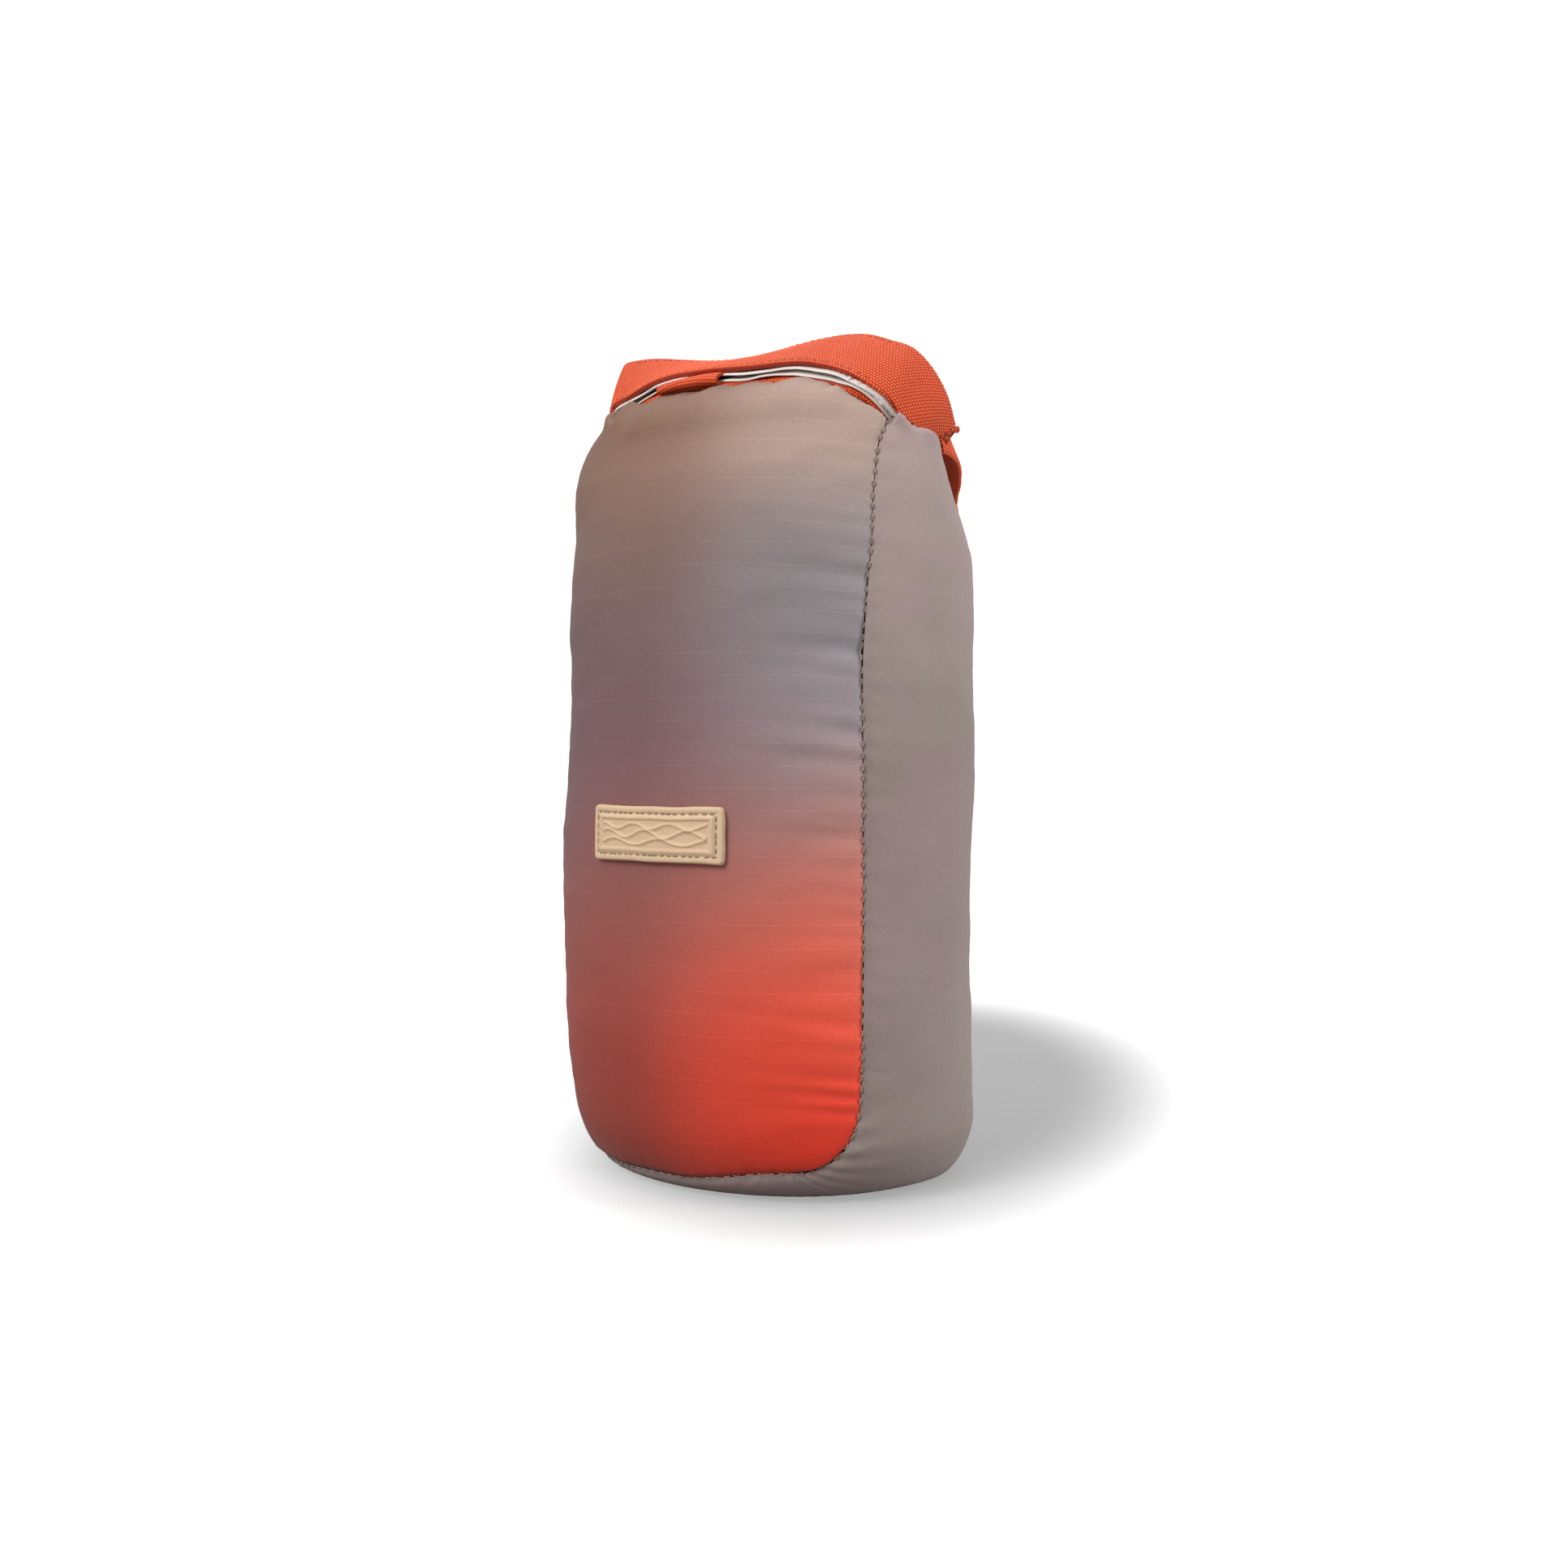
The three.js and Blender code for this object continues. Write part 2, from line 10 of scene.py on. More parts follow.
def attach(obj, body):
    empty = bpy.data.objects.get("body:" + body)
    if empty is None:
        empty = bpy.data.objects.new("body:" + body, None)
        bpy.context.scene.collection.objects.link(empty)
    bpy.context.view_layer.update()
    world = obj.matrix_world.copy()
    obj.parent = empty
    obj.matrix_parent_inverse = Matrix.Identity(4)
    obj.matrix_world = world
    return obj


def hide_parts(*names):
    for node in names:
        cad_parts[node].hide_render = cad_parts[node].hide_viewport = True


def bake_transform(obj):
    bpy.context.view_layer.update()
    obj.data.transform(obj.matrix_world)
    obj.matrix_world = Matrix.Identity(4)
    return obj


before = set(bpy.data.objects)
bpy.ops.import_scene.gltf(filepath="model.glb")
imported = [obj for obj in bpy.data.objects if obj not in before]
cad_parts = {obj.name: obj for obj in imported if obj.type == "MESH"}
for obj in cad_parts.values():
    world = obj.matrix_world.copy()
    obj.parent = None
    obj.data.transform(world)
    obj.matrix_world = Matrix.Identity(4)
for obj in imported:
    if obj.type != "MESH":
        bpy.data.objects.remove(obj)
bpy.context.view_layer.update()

MM = 0.001

# ------------------------------------------------------------------ small maths
def smooth(a, b, x):
    t = np.clip((np.asarray(x, float) - a) / (b - a), 0, 1)
    return t * t * (3 - 2 * t)


def pchip(xs, ys, x):
    xs, ys, x = np.asarray(xs, float), np.asarray(ys, float), np.asarray(x, float)
    h, d = np.diff(xs), np.diff(ys) / np.diff(xs)
    m = np.zeros(len(xs))
    for i in range(1, len(xs) - 1):
        if d[i - 1] * d[i] > 0:
            w1, w2 = 2 * h[i] + h[i - 1], h[i] + 2 * h[i - 1]
            m[i] = (w1 + w2) / (w1 / d[i - 1] + w2 / d[i])
    m[0], m[-1] = d[0], d[-1]
    x = np.clip(x, xs[0], xs[-1])
    i = np.clip(np.searchsorted(xs, x, side="right") - 1, 0, len(xs) - 2)
    t = (x - xs[i]) / h[i]
    return ((2 * t**3 - 3 * t**2 + 1) * ys[i] + (t**3 - 2 * t**2 + t) * h[i] * m[i]
            + (-2 * t**3 + 3 * t**2) * ys[i + 1] + (t**3 - t**2) * h[i] * m[i + 1])


def rnd(i, j, seed):
    n = (np.asarray(i, np.int64) * 374761393 + np.asarray(j, np.int64) * 668265263 + seed * 974634777) & 0xFFFFFFFF
    n = ((n ^ (n >> 13)) * 1274126177) & 0xFFFFFFFF
    n = ((n ^ (n >> 16)) * 2246822519) & 0xFFFFFFFF
    return ((n ^ (n >> 15)) & 0xFFFFFF) / float(0xFFFFFF) * 2 - 1


def noise(x, y, seed):
    x, y = np.broadcast_arrays(np.asarray(x, float), np.asarray(y, float))
    i, j = np.floor(x).astype(np.int64), np.floor(y).astype(np.int64)
    u, v = x - i, y - j
    u, v = u**3 * (u * (6 * u - 15) + 10), v**3 * (v * (6 * v - 15) + 10)
    a, b, c, d = rnd(i, j, seed), rnd(i + 1, j, seed), rnd(i, j + 1, seed), rnd(i + 1, j + 1, seed)
    return (a * (1 - u) + b * u) * (1 - v) + (c * (1 - u) + d * u) * v


def unit(v):
    return v / np.maximum(np.linalg.norm(v, axis=-1, keepdims=True), 1e-12)


def grid_normals(p):
    du, dv = np.gradient(p, axis=0), np.gradient(p, axis=1)
    return unit(np.cross(du, dv))


def catmull(pts, n, closed=False):
    """n points evenly spaced along a centripetal-like spline through pts."""
    pts = np.asarray(pts, float)
    seg = np.maximum(np.linalg.norm(np.diff(pts, axis=0), axis=1), 1e-6) ** 0.5
    k = np.concatenate([[0], np.cumsum(seg)])
    m = np.zeros_like(pts)
    for i in range(1, len(pts) - 1):
        a, b = k[i] - k[i - 1], k[i + 1] - k[i]
        m[i] = ((pts[i] - pts[i - 1]) / a * b + (pts[i + 1] - pts[i]) / b * a) / (a + b)
    m[0], m[-1] = (pts[1] - pts[0]) / (k[1] - k[0]), (pts[-1] - pts[-2]) / (k[-1] - k[-2])

    def at(s):
        i = np.clip(np.searchsorted(k, s, side="right") - 1, 0, len(pts) - 2)
        h = (k[i + 1] - k[i])[:, None]
        t = ((s - k[i])[:, None]) / h
        return ((2 * t**3 - 3 * t**2 + 1) * pts[i] + (t**3 - 2 * t**2 + t) * h * m[i]
                + (-2 * t**3 + 3 * t**2) * pts[i + 1] + (t**3 - t**2) * h * m[i + 1])
    s = np.linspace(0, k[-1], 800)
    p = at(s)
    length = np.concatenate([[0], np.cumsum(np.linalg.norm(np.diff(p, axis=0), axis=1))])
    return at(np.interp(np.linspace(0, length[-1], n), length, s)), length[-1]


def blur(a, n):
    for _ in range(n):
        p = np.pad(a, 1, mode="edge")
        a = (p[:-2, 1:-1] + p[2:, 1:-1] + p[1:-1, :-2] + p[1:-1, 2:] + 4 * a) / 8
    return a


# ------------------------------------------------------------------ node materials
class Mat:
    def __init__(self, name, rough=0.6, sheen=0.0, spec=0.4):
        self.m = bpy.data.materials.new(name)
        self.m.use_nodes = True
        self.t = self.m.node_tree
        self.b = self.t.nodes["Principled BSDF"]
        self.b.inputs["Roughness"].default_value = rough
        self.b.inputs["Specular IOR Level"].default_value = spec
        if sheen:
            self.b.inputs["Sheen Weight"].default_value = sheen
            self.b.inputs["Sheen Roughness"].default_value = 0.5
        uv = self.t.nodes.new("ShaderNodeUVMap")
        uv.uv_map = "mm"
        self.uv = uv.outputs[0]
        s = self.t.nodes.new("ShaderNodeSeparateXYZ")
        self.t.links.new(self.uv, s.inputs[0])
        self.u, self.v = s.outputs[0], s.outputs[1]
        g = self.t.nodes.new("ShaderNodeTexCoord")
        self.obj = g.outputs["Object"]

    def put(self, socket, val):
        if isinstance(val, bpy.types.NodeSocket):
            self.t.links.new(val, socket)
        elif isinstance(val, (tuple, list)):
            socket.default_value = tuple(val) + ((1.0,) if len(socket.default_value) == 4 and len(val) == 3 else ())
        else:
            socket.default_value = val

    def math(self, op, a, b=0.0, clamp=False):
        n = self.t.nodes.new("ShaderNodeMath")
        n.operation, n.use_clamp = op, clamp
        self.put(n.inputs[0], a)
        self.put(n.inputs[1], b)
        return n.outputs[0]

    def add(self, a, b): return self.math("ADD", a, b)
    def sub(self, a, b): return self.math("SUBTRACT", a, b)
    def mul(self, a, b): return self.math("MULTIPLY", a, b)

    def vec(self, x, y, z=0.0):
        n = self.t.nodes.new("ShaderNodeCombineXYZ")
        for i, v in enumerate((x, y, z)):
            self.put(n.inputs[i], v)
        return n.outputs[0]

    def noise(self, vec, scale=1.0, detail=2.0, rough=0.5):
        n = self.t.nodes.new("ShaderNodeTexNoise")
        self.put(n.inputs["Vector"], vec)
        n.inputs["Scale"].default_value = scale
        n.inputs["Detail"].default_value = detail
        n.inputs["Roughness"].default_value = rough
        return n.outputs[0]

    def step(self, a, b, x):
        n = self.t.nodes.new("ShaderNodeMapRange")
        n.interpolation_type = "SMOOTHSTEP"
        self.put(n.inputs["Value"], x)
        n.inputs["From Min"].default_value, n.inputs["From Max"].default_value = a, b
        return n.outputs[0]

    def mix(self, fac, a, b, kind="MIX"):
        n = self.t.nodes.new("ShaderNodeMix")
        n.data_type, n.blend_type = "RGBA", kind
        self.put(n.inputs[0], fac)
        self.put(n.inputs[6], a)
        self.put(n.inputs[7], b)
        return n.outputs[2]

    def ramp(self, fac, stops):
        n = self.t.nodes.new("ShaderNodeValToRGB")
        n.color_ramp.interpolation = "EASE" if len(stops) == 2 else "B_SPLINE" if len(stops) > 3 else "LINEAR"
        e = n.color_ramp.elements
        while len(e) < len(stops):
            e.new(0.5)
        for el, (p, c) in zip(e, stops):
            el.position, el.color = p, tuple(c) + (1.0,)
        self.put(n.inputs[0], fac)
        return n.outputs[0]

    def blob(self, u0, v0, su, sv, u=None, v=None):
        a = self.mul(self.sub(u or self.u, u0), 1.0 / su)
        b = self.mul(self.sub(v or self.v, v0), 1.0 / sv)
        r = self.add(self.mul(a, a), self.mul(b, b))
        return self.math("EXPONENT", self.mul(r, -1.0))

    def line(self, coord, pitch, width):
        """1 on thin lines every pitch, 0 between."""
        f = self.math("PINGPONG", coord, pitch / 2)
        return self.sub(1.0, self.step(width * 0.35, width * 0.75, f))

    def finish(self, color, height=None, distance=0.0003, strength=0.6, rough=None):
        self.put(self.b.inputs["Base Color"], color)
        if rough is not None:
            self.put(self.b.inputs["Roughness"], rough)
        if height is not None:
            n = self.t.nodes.new("ShaderNodeBump")
            n.inputs["Strength"].default_value = strength
            n.inputs["Distance"].default_value = distance
            self.put(n.inputs["Height"], height)
            self.put(self.b.inputs["Normal"], n.outputs[0])
        return self.m


def srgb(h, k=1.0):
    c = [int(h[i:i + 2], 16) / 255 for i in (1, 3, 5)]
    return tuple(k * (x / 12.92 if x <= 0.04045 else ((x + 0.055) / 1.055) ** 2.4) for x in c)


# ------------------------------------------------------------------ mesh building
def add_mesh(name, verts, faces, uv=None, mat=None, angle=55):
    me = bpy.data.meshes.new(name)
    verts = np.asarray(verts, float)
    faces = [np.asarray(f, np.int64) for f in (faces if isinstance(faces, list) else [faces]) if len(f)]
    sizes = np.concatenate([np.full(len(f), f.shape[1]) for f in faces])
    loops = np.concatenate([f.ravel() for f in faces])
    me.vertices.add(len(verts))
    me.vertices.foreach_set("co", (verts * MM).astype(np.float32).ravel())
    me.loops.add(len(loops))
    me.loops.foreach_set("vertex_index", loops.astype(np.int32))
    me.polygons.add(len(sizes))
    me.polygons.foreach_set("loop_start", np.concatenate([[0], np.cumsum(sizes)[:-1]]).astype(np.int32))
    me.polygons.foreach_set("use_smooth", np.ones(len(sizes), bool))
    me.update(calc_edges=True)
    me.validate()
    layer = me.uv_layers.new(name="mm")
    if uv is None:
        uv = verts[:, :2]
    n = np.zeros(len(me.loops), np.int32)
    me.loops.foreach_get("vertex_index", n)
    layer.data.foreach_set("uv", np.asarray(uv, np.float32)[n].ravel())
    me.set_sharp_from_angle(angle=math.radians(angle))
    ob = bpy.data.objects.new(name, me)
    bpy.context.scene.collection.objects.link(ob)
    if mat is not None:
        me.materials.append(mat)
    return ob


def sheet_faces(nu, nv):
    i, j = np.meshgrid(np.arange(nu - 1), np.arange(nv - 1), indexing="ij")
    a = (i * nv + j).ravel()
    top = np.stack([a, a + nv, a + nv + 1, a + 1], 1)
    o = nu * nv
    bottom = np.stack([a + o, a + 1 + o, a + nv + 1 + o, a + nv + o], 1)
    rim = []
    i = np.arange(nu - 1)
    rim.append(np.stack([i * nv, i * nv + o, (i + 1) * nv + o, (i + 1) * nv], 1))
    e = i * nv + nv - 1
    rim.append(np.stack([e, e + nv, e + nv + o, e + o], 1))
    j = np.arange(nv - 1)
    rim.append(np.stack([j, j + 1, j + 1 + o, j + o], 1))
    e = (nu - 1) * nv + j
    rim.append(np.stack([e, e + o, e + 1 + o, e + 1], 1))
    return np.concatenate([top, bottom] + rim)


def sheet(name, outer, inner, uv, mat, angle=55):
    nu, nv = outer.shape[:2]
    verts = np.concatenate([outer.reshape(-1, 3), inner.reshape(-1, 3)])
    uv2 = np.concatenate([uv.reshape(-1, 2)] * 2)
    f = sheet_faces(nu, nv)
    # outward winding
    a, b, c, d = [verts[f[:, k]] for k in range(4)]
    vol = np.einsum("ij,ij->", a, np.cross(b, c)) + np.einsum("ij,ij->", a, np.cross(c, d))
    if vol < 0:
        f = f[:, ::-1]
    return add_mesh(name, verts, f, uv2, mat, angle)


def arc_uv(p):
    """distances along and across a grid, in mm"""
    u = np.zeros(p.shape[:2]); v = np.zeros(p.shape[:2])
    u[:, 1:] = np.cumsum(np.linalg.norm(np.diff(p, axis=1), axis=2), axis=1)
    v[1:, :] = np.cumsum(np.linalg.norm(np.diff(p, axis=0), axis=2), axis=0)
    return u, v


def bvh_of(grid):
    nu, nv = grid.shape[:2]
    i, j = np.meshgrid(np.arange(nu - 1), np.arange(nv - 1), indexing="ij")
    a = (i * nv + j).ravel()
    return BVHTree.FromPolygons([tuple(p) for p in grid.reshape(-1, 3)], np.stack([a, a + nv, a + nv + 1, a + 1], 1).tolist())


def tube(points, radius, sides=8, ends=True, squash_dir=None, flat=1.0):
    """a closed rounded bar along points; radius may be an array"""
    p = np.asarray(points, float)
    n = len(p)
    r = np.broadcast_to(np.asarray(radius, float), (n,)).copy()
    T = unit(np.gradient(p, axis=0))
    ref = np.asarray(squash_dir, float) if squash_dir is not None else np.array([0.3, 0.2, 0.93])
    ref = np.broadcast_to(ref, p.shape)
    B = unit(np.cross(T, ref)); N = unit(np.cross(B, T))
    th = np.linspace(0, 2 * np.pi, sides, endpoint=False)
    ring = p[:, None] + r[:, None, None] * (np.cos(th)[None, :, None] * B[:, None] + flat * np.sin(th)[None, :, None] * N[:, None])
    verts = ring.reshape(-1, 3)
    i, j = np.meshgrid(np.arange(n - 1), np.arange(sides), indexing="ij")
    a, b = (i * sides + j).ravel(), (i * sides + (j + 1) % sides).ravel()
    quads = np.stack([a, a + sides, b + sides, b], 1)
    verts = np.concatenate([verts, p[:1] - T[:1] * r[0] * 0.6, p[-1:] + T[-1:] * r[-1] * 0.6])
    k = np.arange(sides)
    c0, c1 = n * sides, n * sides + 1
    t0 = np.stack([np.full(sides, c0), k, (k + 1) % sides], 1)
    t1 = np.stack([np.full(sides, c1), (n - 1) * sides + (k + 1) % sides, (n - 1) * sides + k], 1)
    L = np.concatenate([[0], np.cumsum(np.linalg.norm(np.diff(p, axis=0), axis=1))])
    uv = np.stack([np.repeat(L, sides), np.tile(th * r.mean(), n)], 1)
    uv = np.concatenate([uv, [[0, 0], [L[-1], 0]]])
    return verts, [quads, np.concatenate([t0, t1])], uv


def join(parts):
    """several (verts, [face arrays], uv) into one"""
    vs, quads, tris, uvs, o = [], [], [], [], 0
    for v, f, u in parts:
        vs.append(v); uvs.append(u)
        for a in f:
            (quads if a.shape[1] == 4 else tris).append(a + o)
        o += len(v)
    out = []
    if quads: out.append(np.concatenate(quads))
    if tris: out.append(np.concatenate(tris))
    return np.concatenate(vs), out, np.concatenate(uvs)


def stitches(name, line, normal, mat, pitch=3.7, length=2.4, radius=0.24, lift=0.1, tilt=0.0, sag=0.45, seed=1):
    """separate thread stitches along a line; each dips into the cloth at both ends"""
    line, normal = np.asarray(line, float), unit(np.asarray(normal, float))
    L = np.concatenate([[0], np.cumsum(np.linalg.norm(np.diff(line, axis=0), axis=1))])
    parts = []
    n = int(L[-1] // pitch)
    for i in range(n):
        c = (i + 0.5) * pitch + 0.18 * pitch * float(rnd(i, 3, seed))
        ln = length * (1 + 0.12 * float(rnd(i, 5, seed)))
        q = np.linspace(-0.5, 0.5, 7)
        s = np.clip(c + q * ln, 0, L[-1])
        p = np.stack([np.interp(s, L, line[:, k]) for k in range(3)], 1)
        m = unit(np.stack([np.interp(s, L, normal[:, k]) for k in range(3)], 1))
        T = unit(p[-1:] - p[:1])
        side = np.cross(T, m)
        a = tilt * (1 + 0.5 * float(rnd(i, 9, seed)))
        p = p + side * (q * ln * math.tan(a))[:, None] + m * (lift - sag * (2 * q) ** 4)[:, None]
        parts.append(tube(p, radius * np.array([0.75, 0.95, 1, 1.02, 1, 0.95, 0.75]), 7, squash_dir=m))
    v, f, uv = join(parts)
    return add_mesh(name, v, f, uv, mat, 80)

# ------------------------------------------------------------------ the stuffed shape (as in the CAD source)
HALF_WIDTH, HALF_DEPTH, R_REF = 73.5, 60.5, 69.0
PROFILE = [(z, r * HALF_WIDTH / R_REF, r * HALF_DEPTH / R_REF) for z, r in (
    (0, 46.5), (1.2, 52), (3, 56), (6, 59.5), (10, 62.2), (14, 64.2), (20, 66), (30, 67), (45, 68), (75, 68.6), (108, 69), (140, 68.6), (170, 68))]
PROFILE += [(202, 73, 57.2), (215, 72, 55.5), (229, 70.6, 51), (236, 69.4, 47.4), (243, 68, 44), (247, 67, 42.5), (250, 66.2, 40),
            (253, 65.6, 36), (255.5, 65.2, 30.5), (257.8, 64.2, 24.5), (261.8, 61.5, 16), (265.5, 58.8, 9.5), (268.5, 57, 4.8)]
ZT = np.linspace(0, 268.5, 5371)
AT = pchip([p[0] for p in PROFILE], [p[1] for p in PROFILE], ZT)
BT = pchip([p[0] for p in PROFILE], [p[2] for p in PROFILE], ZT)
k = np.exp(-0.5 * (np.arange(-60, 61) / 22.0) ** 2); k /= k.sum()
def soften(t):
    s = np.convolve(np.pad(t, 60, mode="reflect", reflect_type="odd"), k, mode="valid")
    w = smooth(4, 12, ZT)
    return t * (1 - w) + s * w
AT, BT = soften(AT), soften(BT)
half_w = lambda z: np.interp(z, ZT, AT)
half_d = lambda z: np.interp(z, ZT, BT)
FRONT_SEAM = np.array([(170, 57), (195, 58), (211, 59.1), (229, 59.9), (238, 61), (245, 64.5), (251, 68.5), (258, 74), (268.5, 80)], float)
BACK_SEAM = np.array([(200, 123), (206, 119), (225, 110), (241, 101), (252, 98), (268.5, 100)], float)
TOP = 268.5


def seam_angle(z):
    z = np.asarray(z, float)
    f = np.clip((34 - z) / 24, 0, 1)
    low = 57 - 17 * (1 - np.sqrt(np.maximum(0, 1 - f * f)))
    return np.where(z < 34, low, np.where(z < 170, 57.0, pchip(FRONT_SEAM[:, 0], FRONT_SEAM[:, 1], z)))


def back_angle(z):
    z = np.asarray(z, float)
    return np.where(z >= 200, pchip(BACK_SEAM[:, 0], BACK_SEAM[:, 1], z), 180 - seam_angle(z))


def on_section(z, t):
    t = np.radians(t)
    return np.stack(np.broadcast_arrays(half_w(z) * np.sin(t), -half_d(z) * np.cos(t), z), -1)


# rows: the rounded lower corner first, then even steps along the front profile
th = np.radians(np.linspace(0, 90, 34))
low_rows = 10 + 24 * (1 - np.cos(th))
zz = np.linspace(34, TOP, 4000)
s = np.concatenate([[0], np.cumsum(np.hypot(np.diff(zz), np.diff(half_d(zz))))])
N_UP = 236
ROWS = np.concatenate([low_rows[:-1], np.interp(np.linspace(0, s[-1], N_UP), s, zz)])
SEAM_GAP = 0.16


def panel_base(front, ncol):
    q = np.linspace(-1, 1, ncol)
    u = np.sign(q) * (1 - (1 - np.abs(q)) ** 1.3)
    gap = SEAM_GAP / np.maximum(20, half_d(ROWS)) * 57.3
    half = (seam_angle(ROWS) if front else 180 - back_angle(ROWS)) - gap
    t = u[None, :] * half[:, None]
    rows = np.where(ROWS < 34, 10 + SEAM_GAP + (ROWS - 10) * (24 - SEAM_GAP) / 24, ROWS)
    return on_section(rows[:, None] + 0 * t, t if front else 180 - t), u


def settle(P):
    """the bottom seam sags on the left, and the front panel reaches further round its left corner"""
    P = P.copy()
    for _ in range(1):
        x, y, z = P[..., 0].copy(), P[..., 1].copy(), P[..., 2].copy()
        w = 1 - smooth(2, 42, x)
        f = smooth(8, -14, y)
        z2 = z - 5.0 * smooth(0, 10, z) * (1 - smooth(10, 44, z)) * w * f
        X, Y = x / half_w(z), -y / half_d(z)
        t, r = np.degrees(np.arctan2(X, Y)), np.hypot(X, Y)
        t = t - 7.5 * np.exp(-((t + 46) / 15) ** 2) * np.exp(-((z - 12) / 12) ** 2) * smooth(0.5, 0.9, r)
        t = np.radians(t)
        P = np.stack([r * np.sin(t) * half_w(z2), -r * np.cos(t) * half_d(z2), z2], -1)
    return P


FRONT0, FU = panel_base(True, 165)
BACK0, BU = panel_base(False, 120)
FRONT0 = settle(FRONT0)


def resample(line, n, cut):
    L = np.concatenate([[0], np.cumsum(np.linalg.norm(np.diff(line, axis=0), axis=1))])
    w = np.linspace(-1, 1, n); w = np.sign(w) * (1 - (1 - np.abs(w)) ** 1.25)
    s = cut + (L[-1] - 2 * cut) * (w + 1) / 2
    return np.stack([np.interp(s, L, line[:, i]) for i in range(3)], 1)


def gusset_base(ncol):
    up = ROWS[33:][::-1]
    w = np.linspace(-1, 1, ncol); w = (np.sign(w) * (1 - (1 - np.abs(w)) ** 1.25) + 1) / 2
    gap = SEAM_GAP / np.maximum(20, half_d(up)) * 57.3
    t0, t1 = seam_angle(up) + gap, back_angle(up) - gap
    side = on_section(up[:, None] + 0 * w[None], t0[:, None] + (t1 - t0)[:, None] * w[None])
    th = np.radians(np.linspace(0, 90, 40)[1:])
    z = 34 - 24 * np.sin(th)
    F = [on_section(a, seam_angle(a)) for a in z]
    dirs = [(np.cos(a), -np.sin(a)) for a in th]
    F += [on_section(10.0, a) for a in np.linspace(40, -40, 74)[1:-1]]
    dirs += [(0.0, -1.0)] * 72
    F, dirs = np.array(F, float), np.array(dirs)
    y = -np.cos(np.linspace(0, np.pi, 121))[None, :] * np.abs(F[:, 1:2])
    lo, hi = np.zeros_like(y), np.full_like(y, 62.0)
    for _ in range(36):
        m = (lo + hi) / 2
        X, Z = F[:, :1] + dirs[:, :1] * m, F[:, 2:] + dirs[:, 1:] * m
        ins = (Z > 0) & ((X / half_w(Z)) ** 2 + (y / half_d(Z)) ** 2 < 1)
        lo, hi = np.where(ins, m, lo), np.where(ins, hi, m)
    lo[:, 0] = lo[:, -1] = 0
    P = np.stack([F[:, :1] + dirs[:, :1] * lo, y, np.maximum(0, F[:, 2:] + dirs[:, 1:] * lo)], -1)
    low = np.array([resample(l, ncol, SEAM_GAP) for l in P])
    corner, base = low[:39], low[39:]
    mirror = lambda g: (g * np.array([-1.0, 1, 1]))[::-1]
    return np.concatenate([side, corner, base, mirror(corner), mirror(side)])


GUS0 = settle(gusset_base(76))

# ------------------------------------------------------------------ materials
def fabric_front():
    m = Mat("print_ripstop_cloth", 0.66, 0.08, 0.25)
    U, V = m.u, m.v
    wob = m.mul(m.sub(m.noise(m.obj, 14.0, 3.0), 0.5), 26.0)
    Uw, Vw = m.add(U, m.mul(wob, 0.6)), m.add(V, wob)
    Vr = m.mul(Vw, 1 / 270.0)
    # colours up the panel for its right and left sides; the left side is darker, partly the print's own maroon and
    # partly painted shade where the panel turns away from the light
    right = m.ramp(Vr, [(0.03, srgb("#cf2f1a")), (0.14, srgb("#e8432c")), (0.25, srgb("#e7604a")), (0.36, srgb("#c07264")), (0.46, srgb("#a08280")),
                        (0.56, srgb("#978c91")), (0.68, srgb("#8e888c")), (0.80, srgb("#988b89")), (0.90, srgb("#a38d80"))])
    left = m.ramp(Vr, [(0.03, srgb("#8a3528")), (0.14, srgb("#9a392e")), (0.25, srgb("#984b43")), (0.36, srgb("#8f5852")), (0.46, srgb("#7f595b")),
                       (0.56, srgb("#74575d")), (0.68, srgb("#735d5a")), (0.80, srgb("#7f6257")), (0.90, srgb("#785847"))])
    c = m.mix(m.step(60, -20, m.sub(Uw, m.mul(Vw, 0.06))), right, left)
    # a dark maroon patch on the left side halfway up: partly print, partly painted shade
    c = m.mix(m.mul(m.blob(-52, 140, 22, 60, Uw, Vw), 0.3), c, srgb("#6b4a52"))
    c = m.mix(m.mul(m.blob(46, 196, 26, 20, Uw, Vw), 0.35), c, srgb("#7b7a7e"))
    c = m.mix(m.mul(m.blob(44, 246, 36, 22, Uw, Vw), 0.5), c, srgb("#b99d92"))
    c = m.mix(m.mul(m.blob(34, 44, 26, 30, Uw, Vw), 0.3), c, srgb("#ea432a"))
    # threads: slubs along the weft, light flecks, ripstop grid
    weft = m.noise(m.vec(m.mul(U, 0.55), m.mul(V, 3.4)), 1.0, 3.0, 0.7)
    warp = m.noise(m.vec(m.mul(U, 3.4), m.mul(V, 0.5)), 1.0, 2.0, 0.6)
    tex = m.add(m.mul(m.sub(weft, 0.5), 0.42), m.mul(m.sub(warp, 0.5), 0.22))
    fleck = m.step(0.67, 0.78, m.noise(m.vec(m.mul(U, 1.7), m.mul(V, 2.2)), 1.0, 1.0, 0.5))
    rip_h, rip_v = m.line(V, 7.0, 0.34), m.line(U, 7.0, 0.3)
    soft = m.step(0.25, 0.75, m.noise(m.vec(m.mul(U, 0.05), m.mul(V, 0.4)), 1.0, 2.0))
    light = m.add(m.add(1.0, tex), m.add(m.mul(fleck, 0.30), m.add(m.mul(m.mul(rip_h, m.add(0.02, m.mul(soft, 0.13))), 1.0), m.mul(rip_v, 0.025))))
    c = m.mix(1.0, c, m.vec(light, light, light), "MULTIPLY")
    h = m.add(m.mul(weft, 0.5), m.add(m.mul(warp, 0.3), m.add(m.mul(rip_h, 0.28), m.mul(rip_v, 0.12))))
    return m.finish(c, h, 0.00022, 0.55)


